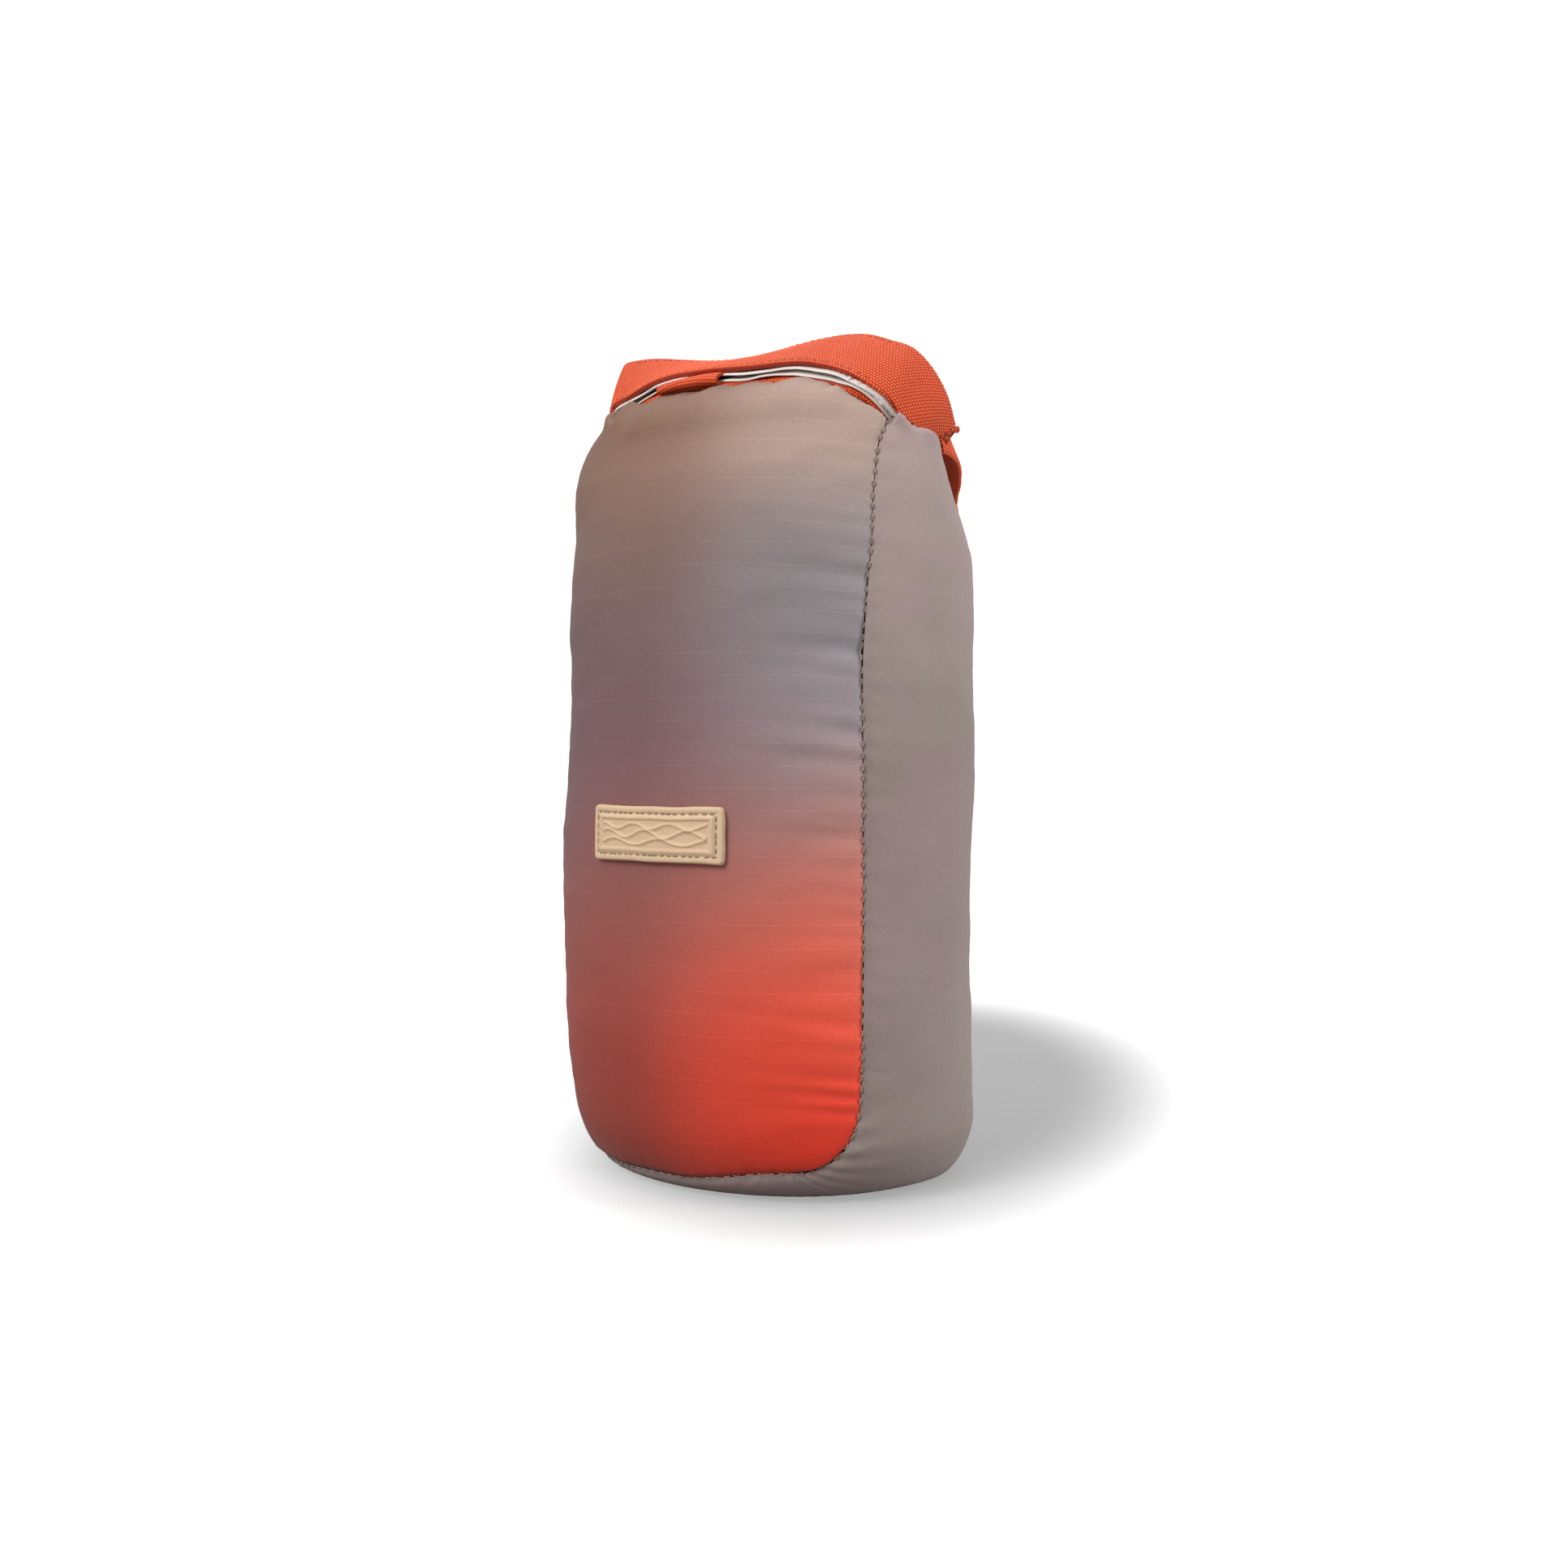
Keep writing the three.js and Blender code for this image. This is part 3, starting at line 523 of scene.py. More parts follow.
def fabric_taupe(name="taupe_ripstop_cloth", tint="#a3958f"):
    m = Mat(name, 0.66, 0.1, 0.25)
    U, V = m.u, m.v
    big = m.noise(m.obj, 9.0, 3.0, 0.55)
    c = m.mix(m.step(0.3, 0.7, big), srgb(tint), srgb("#a08a88"))
    c = m.mix(m.mul(m.step(0.45, 0.75, m.noise(m.obj, 17.0, 2.0, 0.5)), 0.5), c, srgb("#928b80"))
    # painted shade: from 245 mm down to 120 mm the cloth darkens to about four fifths, for the light that falls off
    # towards the bottom of the sack
    oz = m.t.nodes.new("ShaderNodeSeparateXYZ"); m.put(oz.inputs[0], m.obj)
    c = m.mix(m.step(0.245, 0.12, oz.outputs[2]), c, m.mix(1.0, c, (0.79, 0.77, 0.77), "MULTIPLY"))
    a, b = m.mul(m.add(U, V), 0.7071), m.mul(m.sub(U, V), 0.7071)
    rip_a, rip_b = m.line(a, 7.0, 0.4), m.line(b, 7.0, 0.4)
    weft = m.noise(m.vec(m.mul(a, 0.6), m.mul(b, 3.2)), 1.0, 3.0, 0.7)
    warp = m.noise(m.vec(m.mul(a, 3.2), m.mul(b, 0.6)), 1.0, 3.0, 0.7)
    fleck = m.step(0.66, 0.78, m.noise(m.vec(m.mul(a, 1.9), m.mul(b, 2.1)), 1.0, 1.0, 0.5))
    light = m.add(m.add(1.0, m.add(m.mul(m.sub(weft, 0.5), 0.22), m.mul(m.sub(warp, 0.5), 0.22))),
                  m.add(m.mul(fleck, 0.16), m.add(m.mul(rip_a, 0.05), m.mul(rip_b, 0.025))))
    c = m.mix(1.0, c, m.vec(light, light, light), "MULTIPLY")
    h = m.add(m.mul(weft, 0.4), m.add(m.mul(warp, 0.4), m.add(m.mul(rip_a, 0.45), m.mul(rip_b, 0.35))))
    return m.finish(c, h, 0.0002, 0.5)


def webbing(name="orange_webbing_weave", base="#ea5220", dark="#8e2710", painted_highlight="#f9702e", pitch=1.12):
    m = Mat(name, 0.55, 0.04, 0.25)
    U, V = m.u, m.v
    k = math.pi / pitch
    row = m.math("ROUND", m.mul(V, 1 / pitch))
    shift = m.mul(m.math("MODULO", row, 2.0), math.pi)
    a = m.math("ABSOLUTE", m.math("SINE", m.add(m.mul(U, k), m.mul(shift, 0.5))))
    b = m.math("ABSOLUTE", m.math("COSINE", m.mul(V, k)))
    bump = m.math("POWER", m.mul(a, b), 0.7)
    fibre = m.noise(m.vec(m.mul(U, 7.0), m.mul(V, 2.5)), 1.0, 2.0, 0.6)
    wear = m.noise(m.obj, 60.0, 3.0, 0.6)
    # painted shade: the gaps between the yarns are darker
    c = m.mix(m.step(0.12, 0.72, bump), srgb(dark), srgb(base))
    # painted highlight: the tops of the yarns are lighter
    c = m.mix(m.mul(m.step(0.62, 1.0, m.add(bump, m.mul(m.sub(fibre, 0.5), 0.5))), 0.75), c, srgb(painted_highlight))
    c = m.mix(m.mul(m.step(0.5, 0.8, wear), 0.25), c, srgb(dark))
    return m.finish(c, m.add(bump, m.mul(fibre, 0.25)), 0.00022, 0.8)


def facing_mat():
    m = Mat("grey_facing_cloth", 0.7, 0.2, 0.3)
    w = m.noise(m.vec(m.mul(m.u, 2.2), m.mul(m.v, 2.2)), 1.0, 3.0, 0.6)
    g = m.noise(m.obj, 90.0, 3.0, 0.6)
    c = m.mix(w, srgb("#ddd3cc"), srgb("#f1ebe6"))
    c = m.mix(m.mul(m.step(0.5, 0.75, g), 0.3), c, srgb("#b8a89d"))
    return m.finish(c, w, 0.0002, 0.5)


def thread_mat(name, col, dark, per=0.42):
    m = Mat(name, 0.5, 0.3, 0.4)
    tw = m.math("SINE", m.add(m.mul(m.u, 2 * math.pi / per), m.mul(m.v, 2.4)))
    n = m.noise(m.obj, 700.0, 2.0)
    c = m.mix(m.add(m.mul(tw, 0.35), m.mul(n, 0.8)), srgb(dark), srgb(col))
    return m.finish(c, tw, 0.00012, 0.7)


def rubber_mat():
    m = Mat("patch_rubber_moulded", 0.52, 0.0, 0.45)
    g = m.noise(m.obj, 900.0, 3.0, 0.6)
    big = m.noise(m.obj, 70.0, 3.0, 0.6)
    c = m.mix(big, srgb("#cdae8c"), srgb("#dabc99"))
    c = m.mix(m.mul(m.step(0.55, 0.8, g), 0.25), c, srgb("#9c8165"))
    return m.finish(c, m.add(m.mul(g, 0.6), m.mul(big, 0.6)), 0.00015, 0.4, m.add(0.46, m.mul(g, 0.16)))


def plastic_mat():
    m = Mat("buckle_moulded_plastic", 0.42, 0.0, 0.5)
    g = m.noise(m.obj, 1500.0, 3.0, 0.6)
    w = m.noise(m.obj, 55.0, 4.0, 0.65)
    c = m.mix(m.mul(m.step(0.5, 0.75, w), 0.5), srgb("#2b2828"), srgb("#3d3938"))
    return m.finish(c, g, 0.00008, 0.5, m.add(0.34, m.mul(w, 0.22)))


def knit_mat():
    m = Mat("pillow_cover_knit", 0.75, 0.45, 0.25)
    k = math.pi / 1.1
    a = m.math("ABSOLUTE", m.math("SINE", m.add(m.mul(m.u, k), m.mul(m.math("SINE", m.mul(m.v, k)), 0.6))))
    n = m.noise(m.vec(m.mul(m.u, 1.6), m.mul(m.v, 1.6)), 1.0, 3.0, 0.6)
    c = m.mix(m.add(m.mul(a, 0.6), m.mul(n, 0.4)), srgb("#6e6a69"), srgb("#a09b98"))
    return m.finish(c, a, 0.00025, 0.6)


def foam_mat():
    m = Mat("shredded_foam", 0.9, 0.0, 0.2)
    g = m.noise(m.obj, 240.0, 4.0, 0.7)
    c = m.mix(m.step(0.35, 0.7, g), srgb("#cdbb92"), srgb("#efe5c9"))
    return m.finish(c, g, 0.0008, 0.9)


M_FRONT, M_TAUPE, M_BACK = fabric_front(), fabric_taupe(), fabric_taupe("taupe_ripstop_back", "#a09089")
M_WEB, M_FACE, M_RUB, M_PLA, M_KNIT, M_FOAM = webbing(), facing_mat(), rubber_mat(), plastic_mat(), knit_mat(), foam_mat()
M_FRAY = webbing("orange_frayed_end", "#d0551f", "#8e3a18", "#e8964a", 2.2)
M_TH, M_TH_O = thread_mat("seam_thread_tan", "#b9a58a", "#7a6957"), thread_mat("orange_thread_twist", "#f06a3e", "#a93a1e")
M_TH_P = thread_mat("patch_thread_tan", "#bfa587", "#7d6650")

# ------------------------------------------------------------------ the mouth band
# per X: tilt of the folded lip, height of the fold; the lip is measured as s forward and down, h up and out
LX = [-56, -48, -40, -32, -24, -16, -8, 0, 8, 16, 24, 32, 40, 48, 56]
LTAU = [50, 45.5, 36, 27.5, 21.5, 18.7, 18, 19, 22, 25, 27, 29, 32, 34.5, 35.5]
LZ = [277.5, 276.6, 274.6, 272.7, 271.1, 270.1, 269.6, 269.7, 270.5, 271.5, 272.1, 272.3, 271.8, 270.0, 266.6]


def lip(x, s, h):
    x = np.asarray(x, float)
    tau = np.radians(pchip(LX, LTAU, x)); z0 = pchip(LX, LZ, x)
    c, n = np.cos(tau), np.sin(tau)
    return np.stack(np.broadcast_arrays(x, 1 - c * s - n * h, z0 - n * s + c * h), -1)


# band ends beyond the straight part: crest edge and mouth edge of the outer face
LEFT_END = [((-52, -4.7, 281.4), (-52, -21.9, 262.2)), ((-59.8, -5.0, 281.2), (-56.4, -18.5, 260.2)), ((-66.2, 1.2, 278.8), (-63.6, -9.0, 254.2)),
            ((-68.2, 9.5, 271.0), (-70.5, 4.0, 246.0)), ((-61.5, 19.5, 265.0), (-68.6, 17.0, 241.5))]
RIGHT_END = [((52, -3.5, 273.9), (52, -24.6, 259.1)), ((59.5, -1.5, 270.5), (59.9, -20.0, 253.4)), ((64.1, 3.0, 264.0), (62.9, -13.5, 246.9)),
             ((66.5, 7.6, 256.0), (64.6, -7.0, 243.2)), ((66.2, 13.0, 247.4), (63.0, 1.8, 241.0))]


def ribbon_edges(side, s0, s1, h):
    """crest edge and mouth edge curves of one half of a tape at height h, from the middle outwards"""
    ends = RIGHT_END if side > 0 else LEFT_END
    xs = np.linspace(0, 50, 14)[:-2] * side
    A, B = list(lip(xs, s0, h)), list(lip(xs, s1, h))
    w0, w1 = 26.3 - 0.5, h - 7.2
    for a, b in ends:
        a, b = np.array(a, float), np.array(b, float)
        # measure along the strip and along its normal
        d = (b - a) / np.linalg.norm(b - a)
        A.append((a, d, s0 - 0.5)); B.append((b, d, s1 - 26.3))
    # normals of the end stations from the neighbouring stations
    mid = [np.array(p if not isinstance(p, tuple) else p[0]) for p in A]
    outA, outB = [], []
    for i, (p, q) in enumerate(zip(A, B)):
        if isinstance(p, tuple):
            T = mid[min(i + 1, len(mid) - 1)] - mid[i - 1]
            n = np.cross(T, p[1]); n = n / np.linalg.norm(n)
            centre = (p[0] + q[0]) / 2
            if np.dot(n, centre - np.array([0, 0, 235.0])) < 0: n = -n
            outA.append(p[0] + p[1] * p[2] + n * w1); outB.append(q[0] + q[1] * q[2] + n * w1)
        else:
            outA.append(p); outB.append(q)
    return np.array(outA), np.array(outB)


def strip(A, B, step_l, n_w, crown=0.0, lead=None):
    """grid across a tape between two edge curves: rows along, columns from A to B"""
    mid, L = catmull((A + B) / 2, 40)
    n = max(8, int(L / step_l))
    key = np.concatenate([[0], np.cumsum(np.linalg.norm(np.diff((A + B) / 2, axis=0), axis=1))]); key /= key[-1]
    t = np.linspace(0, 1, n)
    def curve(P):
        m = np.gradient(P, key, axis=0)
        i = np.clip(np.searchsorted(key, t, side="right") - 1, 0, len(key) - 2)
        h = (key[i + 1] - key[i])[:, None]; q = (t - key[i])[:, None] / h
        return ((2 * q**3 - 3 * q**2 + 1) * P[i] + (q**3 - 2 * q**2 + q) * h * m[i] + (-2 * q**3 + 3 * q**2) * P[i + 1] + (q**3 - q**2) * h * m[i + 1])
    a, b = curve(A), curve(B)
    w = np.linspace(0, 1, n_w)[None, :, None]
    g = a[:, None] * (1 - w) + b[:, None] * w
    n_ = grid_normals(g)
    c = (g.reshape(-1, 3).mean(0) - np.array([0, 0, 235.0]))
    if np.einsum("ijk,k->", n_, c) < 0: n_ = -n_
    if crown:
        g = g + n_ * (crown * (1 - (2 * w - 1) ** 2))
    return g, n_


def weave_relief(U, V, pitch=1.12, amp=0.16):
    k = np.pi / pitch
    row = np.round(V / pitch)
    a = np.abs(np.sin(U * k + (row % 2) * np.pi / 2)); b = np.abs(np.cos(V * k))
    return amp * (a * b) ** 0.7


def tape_mesh(name, g, n, thick, mat, relief=True, pitch=1.12, amp=0.16, edge=0.0):
    U, V = arc_uv(g)
    U, V = V, U           # U along the tape, V across it
    if edge:
        e = edge * np.sin(U * 2 * np.pi / (2 * pitch))
        d = unit(np.gradient(g, axis=1))
        side = (np.linspace(-1, 1, g.shape[1])[None, :]) ** 15
        g = g + d * (e * side)[..., None]
    r = weave_relief(U, V, pitch, amp) if relief else 0 * U
    q = np.abs(np.linspace(-1, 1, g.shape[1]))[None, :]
    round_ = 0.35 * thick * (1 - np.sqrt(np.maximum(0, 1 - np.clip((q - 0.93) / 0.07, 0, 1) ** 2)))
    outer = g + n * (r - round_)[..., None]
    inner = g - n * (thick + r * 0.8 - round_)[..., None]
    return sheet(name, outer, inner, np.stack([U, V], -1), mat, 75)


BAND = {}
for side, nm in ((-1, "left"), (1, "right")):
    A, B = ribbon_edges(side, 0.0, 26.3, 7.2)
    BAND[nm] = strip(A, B, 0.27, 98, 0.9)

def half_blend(ob):
    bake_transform(ob)

for side, nm in ((-1, "left"), (1, "right")):
    g, n = BAND[nm]
    ob = tape_mesh("back_webbing_" + nm, g, n, 1.55, M_WEB, edge=0.10)
    half_blend(ob)


def lip_tape(name, side, s0, s1, h, thick, mat, n_end, nw, step=0.45, relief=True, wave=0.0, seed=3, hf=None, amp=0.16, edge=0.0):
    A, B = ribbon_edges(side, s0, s1, h)
    extra = len(RIGHT_END if side > 0 else LEFT_END) - n_end
    if extra > 0: A, B = A[:-extra], B[:-extra]
    if hf is not None:
        up_ = unit(lip(A[:, 0], 0, 1) - lip(A[:, 0], 0, 0))
        k_ = hf(A[:, 0])[:, None]
        A, B = A + up_ * k_, B + up_ * k_
    g, n = strip(A, B, step, nw, 0.0)
    x_ = np.abs(g[:, :1, 0] + 0 * g[..., 0])
    w = np.linspace(0, 1, nw)[None, :] + 0 * x_
    U_, _ = arc_uv(g); L_ = _ * side
    g = g + n * (wave * noise(L_ / 9.0, w * 1.3 + 7, seed) * w)[..., None]
    g = g + unit(np.gradient(g, axis=1)) * (wave * 0.9 * noise(L_ / 11.0, 0 * w, seed + 5) * w)[..., None]
    ob = tape_mesh(name, g, n, thick, mat, relief, amp=amp, edge=edge)
    half_blend(ob)
    return g, n


gap = lambda X: 0.25 * smooth(-6, 14, X) * (1 - smooth(34, 50, X))
FRONT_UNDER = {}
for side, nm in ((-1, "left"), (1, "right")):
    xm = 3
    lip_tape("back_facing_" + nm, side, 3.0, 27.5, 5.3, 0.75, M_FACE, xm, 36, 0.6, False, 0.35, 11)
    FACE_END = lip_tape("front_facing_" + nm, side, 3.0, 27.8, 3.2, 0.75, M_FACE, xm, 36, 0.6, False, 0.45, 23, hf=gap)
    FRONT_UNDER[nm] = lip_tape("front_webbing_" + nm, side, 2.0, 28.7, 2.0, 1.4, M_WEB, xm, 96, 0.28, True, 0.25, 31, hf=gap, edge=0.1)

g, n = FACE_END
cols = g[:, -1] - g[:, -6]
line = g[:, -4] + n[:, -4] * 0.9
i0 = int(np.argmin(np.abs(line[:, 0] - 49.5))); i1 = min(len(line) - 3, int(np.argmin(np.linalg.norm(line - np.array([62.0, -13.5, 248.0]), axis=1))))
core, _ = catmull(line[i0:i1 + 1:max(1, (i1 - i0) // 9)], 70)
q_ = np.linspace(0, 1, 70)
hem = (0.55 + 0.75 * smooth(0, 0.16, q_) * (1 - 0.75 * smooth(0.7, 1, q_))) * (1 + 0.10 * np.sin(q_ * 21) + 0.08 * np.sin(q_ * 47))
v_, f_, u_ = tube(core + unit(cols[i0:i1 + 1].mean(0)) * 0.5, hem, 16, squash_dir=n[(i0 + i1) // 2, -4], flat=0.62)
OVER = add_mesh("facing_overlap_right", v_, f_, u_, M_FACE, 80)
half_blend(OVER)
knot, _ = catmull([(49.0, 0, 0), (49.6, 0, 0), (50.6, 0, 0)], 8)
kn = line[i0] + np.linspace(-1, 1, 9)[:, None] * unit(cols[i0]) * 1.7 + n[i0, -4] * 0.5
v_, f_, u_ = tube(kn, 0.75 * np.array([.7, .9, 1, 1.1, 1.15, 1.1, 1, .9, .7]), 12)
KNOT = add_mesh("facing_tack_right", v_, f_, u_, M_FACE, 80)
half_blend(KNOT)
stub, _ = catmull([(62.4, 5.6, 243.0), (64.0, 9.3, 244.7), (65.1, 12.4, 245.9), (65.5, 15.4, 246.3)], 60)
q_ = np.linspace(0, 1, 60)
v_, f_, u_ = tube(stub, 0.95 + 0.12 * np.sin(q_ * 40) + 0.15 * q_, 18)
STUB = add_mesh("band_end_fold_right", v_, f_, u_, M_WEB, 80)
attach(STUB, "sack")
p_ = np.linspace(0, 1, 46)[:, None, None]; w_ = np.linspace(0, 1, 40)[None, :, None]
A_, D_, B_, C_ = [np.array(v) for v in ((62.0, 4.2, 242.2), (65.0, 14.6, 245.2), (60.9, 7.6, 237.6), (63.0, 13.0, 241.9))]
g_ = (A_ * (1 - p_) + D_ * p_) * (1 - w_) + (B_ * (1 - p_) + C_ * p_) * w_
n_ = grid_normals(g_)
if n_[..., 0].mean() < 0: n_ = -n_
g_ = g_ + n_ * (0.34 * np.sin(p_ * 34 + 2.2 * w_) * np.ones_like(w_) + 0.5 * np.sin(np.pi * p_) * (1 - w_)) + np.array([0, 0, 1.0]) * (0.5 * w_ ** 3 * noise(p_[..., 0] * 17, p_[..., 0] * 0, 15)[..., None])
uu, vv = arc_uv(g_)
FRAY = sheet("band_end_fray_right", g_, g_ - n_ * 0.7, np.stack([uu, vv], -1), M_FRAY, 70)
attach(FRAY, "sack")


def neck(name, sgn, s1, h1, bow, mat):
    """cloth from a panel's top edge to the root of its lip"""
    x = np.linspace(-57.5, 57.5, 240)
    z0 = 266.6
    a, b = half_w(z0), half_d(z0)
    y0 = sgn * (b * np.sqrt(np.maximum(0, 1 - (x / (a + 2.2)) ** 2)) - 0.5)
    e0 = np.stack([x, y0, z0 + 0 * x], 1)
    e1 = lip(np.clip(x, -56, 56), s1, h1); e1[:, 0] = x
    v = np.linspace(0, 1, 22)[None, :, None]
    g = e0[:, None] * (1 - v) + e1[:, None] * v
    pull = smooth(58, 44, np.abs(x))[:, None]
    g[..., 1] += sgn * bow * np.sin(np.pi * v[..., 0]) * (0.4 + 0.6 * pull)
    g[..., 1] += 0.35 * noise(x / 4.2, 0 * x, 55)[:, None] * np.sin(np.pi * v[..., 0])
    n = grid_normals(g)
    if (n[..., 1] * sgn).mean() < 0: n = -n
    uu, vv = arc_uv(g); uu, vv = vv, uu
    ob = sheet(name, g, g - n * 0.6, np.stack([uu - 57.5, 262 + vv], -1), mat, 75)
    half_blend(ob)
    w = smooth(58, 30, np.abs(g[..., 0])) * smooth(0.05, 0.95, np.broadcast_to(v[..., 0], g.shape[:2]))
    w = np.concatenate([w.ravel(), w.ravel()]).astype(np.float32)
    return ob


neck("neck_front_cloth", -1, 3.4, 0.7, 1.0, M_FRONT)
neck("neck_back_cloth", 1, 0.9, 5.9, 1.6, M_BACK)

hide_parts("back_webbing", "left_band_end")
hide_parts("right_band_end")
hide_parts("back_facing"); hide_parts("front_facing")
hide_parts("front_webbing")

# ------------------------------------------------------------------ cloth relief of the sack
def bell(x, c, w):
    return np.exp(-((x - c) / w) ** 2)


def fullness(P):
    """broad fullness of the stuffed sack, one smooth field for all three panels"""
    z = P[..., 2]
    t = np.degrees(np.arctan2(P[..., 0] / half_w(z), -P[..., 1] / half_d(z)))
    d = 5.0 * bell(t, -54, 30) * bell(z, 240, 19) * (1 - 0.6 * smooth(245, 256, z))
    d += 1.9 * bell(t, -54, 24) * smooth(12, 40, z) * (1 - smooth(150, 215, z))
    d += 3.4 * bell(t, 124, 40) * bell(z, 10, 16) * smooth(0, 5, z)
    d += -1.7 * bell(t, 124, 24) * bell(z, 95, 42) + 0.9 * bell(t, 124, 24) * bell(z, 188, 14)
    d += -1.3 * bell(t, -54, 24) * bell(z, 152, 24)
    d += -9.0 * bell(np.abs(t), 126, 28) * smooth(204, 238, z) * (1 - smooth(246, 262, z))
    return d


def puckers(dist, pos, seed, pitch, amp, length, start, stop, extra=(), droop=0.12):
    """ridges that start at a seam and fade into the panel"""
    out = np.zeros(np.broadcast(dist, pos).shape)
    p, i = start, 0
    items = []
    while p < stop:
        items.append((p + pitch * 0.3 * float(rnd(i, 1, seed)), amp * (0.55 + 0.45 * abs(float(rnd(i, 2, seed)))), length * (0.55 + 0.75 * abs(float(rnd(i, 3, seed)))),
                      pitch * (0.26 + 0.1 * abs(float(rnd(i, 4, seed)))), droop * (1 + float(rnd(i, 5, seed)))))
        p += pitch * (1 + 0.28 * float(rnd(i, 6, seed))); i += 1
    for c, a, l, w, sl in items + list(extra):
        out += -a * np.exp(-((pos - c - sl * dist) / w) ** 2) * np.exp(-(dist / l) ** 1.5) * (1 - 0.55 * np.exp(-dist / 1.2))
    return out


def seam_roll(d, depth=1.0, width=1.5):
    return -depth * np.exp(-(d / width) ** 1.6)


def surface_uv(P):
    """mm along the row from its middle, mm up the rows"""
    u, v = arc_uv(P)
    mid = P.shape[1] // 2
    u = u - u[:, mid:mid + 1]
    v = np.repeat(v[:, mid:mid + 1], P.shape[1], 1)
    return u, v


def press_under(P, N, trees, gap_in, reach=16.0, zmin=236.0):
    """how far to move each point inwards so that it lies under the band"""
    push = np.zeros(P.shape[:2])
    idx = np.argwhere(P[..., 2] > zmin)
    for i, j in idx:
        p, n = P[i, j], N[i, j]
        o = Vector(p - n * reach)
        best = None
        for t in trees:
            hit = t.ray_cast(o, Vector(n), reach + gap_in)
            if hit[0] is not None and (best is None or hit[3] < best): best = hit[3]
        if best is not None: push[i, j] = reach + gap_in - best
    return push


under_trees = []
for nm in ("left", "right"):
    g, n = FRONT_UNDER[nm]
    under_trees.append(bvh_of(g - n * 1.6))
    g, n = BAND[nm]
    keep = np.abs(g[:, 48, 0]) > 50
    first = int(np.argmax(keep))
    under_trees.append(bvh_of((g - n * 1.9)[first:]))


def finish_panel(name, P0, disp, uv, mat, body, thick=0.75, press=True, tangent=None):
    N = grid_normals(P0)
    c = P0 - np.array([0, 0, 1]) * P0[..., 2:] * 0
    if np.einsum("ijk,ijk->", N, c - np.array([0, 0, 130.0])) < 0: N = -N
    P = P0 + N * (disp + fullness(P0))[..., None]
    if press:
        a = press_under(P, N, under_trees, 0.5)
        a = np.maximum(a, blur(a, 3))
        P = P - N * a[..., None]
    N2 = grid_normals(P)
    if np.einsum("ijk,ijk->", N2, N) < 0: N2 = -N2
    P[..., 2] = np.maximum(P[..., 2], 0.0)
    inner = P - N2 * thick
    inner[..., 2] = np.where(P[..., 2] < 1.5, np.maximum(inner[..., 2], P[..., 2] + thick * 0.8), inner[..., 2])
    ob = sheet(name, P, inner, np.stack(uv, -1), mat, 60)
    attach(ob, body)
    return ob, P, N2




# front panel
U, V = surface_uv(FRONT0)
edgeU = np.abs(U[:, -1:]); d_side = np.maximum(0, edgeU - np.abs(U))
X, Y, Z = FRONT0[..., 0], FRONT0[..., 1], FRONT0[..., 2]
d_bot = V
right, left = U > 0, U <= 0
D = seam_roll(d_side) + seam_roll(d_bot) * (1 - smooth(30, 40, Z))
strong = [(z - 10, a, l, w, 0.10) for z, a, l, w in ((201, 0.9, 26, 3.4), (178, 0.8, 24, 3.0), (153, 0.8, 22, 2.6), (144, 0.8, 26, 2.6), (121, 0.6, 20, 2.4),
                                                     (64, 0.7, 24, 2.5), (46, 0.9, 26, 2.4), (39.6, 0.8, 22, 2.0), (34, 0.7, 20, 1.8))]
D += np.where(right, puckers(d_side, V, 5, 7.2, 0.42, 19, 22, 240, strong), puckers(d_side, V, 9, 7.6, 0.24, 16, 22, 240))
D += puckers(d_bot, U, 13, 4.6, 0.38, 7.5, -48, 48) * (1 - smooth(18, 30, Z))
D += 0.65 * noise(U / 46, V / 27, 31) + 0.26 * noise((U + 0.25 * V) / 26 + 4, (V - 0.28 * U) / 8.5, 37) * smooth(5, 55, np.abs(U)) + 0.10 * noise(U / 11, V / 9, 41)
# gathers under the band
D += (4.2 + 0.9 * noise(X / 8.0, Z * 0, 57)) * smooth(244, 257, Z) * smooth(57, 45, np.abs(X))
up = smooth(238, 254, Z)
D += up * (0.30 * noise(X / 7.5, Z / 30, 51) + 0.15 * noise(X / 3.8, Z / 26, 53))
D += -8.0 * bell(X + 0.35 * (Z - 258), -44.0, 1.9) * smooth(250.5, 257.5, Z) - 1.3 * bell(X - 0.75 * (Z - 252), -49.5, 1.6) * smooth(243, 249, Z) * (1 - smooth(253, 256, Z))
D += 2.3 * bell(X + 0.9 * (Z - 256), -49.0, 2.6) * smooth(247, 254, Z) + 2.0 * bell(X + 0.2 * (Z - 256), -38.6, 3.4) * smooth(247, 254, Z)
D += -1.5 * bell(X, 22.7, 1.5) * smooth(254, 259, Z) - 1.5 * bell(X - 0.2 * (Z - 254), 43.5, 1.6) * smooth(251, 257, Z) - 0.8 * bell(X, 49, 1.4) * smooth(250, 256, Z)
D += 0.5 * bell(X, 14, 7) * up + 0.5 * bell(X, 33, 7) * up
sag = 4.5 * smooth(120, 230, Z) * (U / np.maximum(edgeU, 1)) ** 2
FRONT, PF, NF = finish_panel("front_panel_cloth", FRONT0, D, (U, V + sag), M_FRONT, "sack")
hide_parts("front_panel")

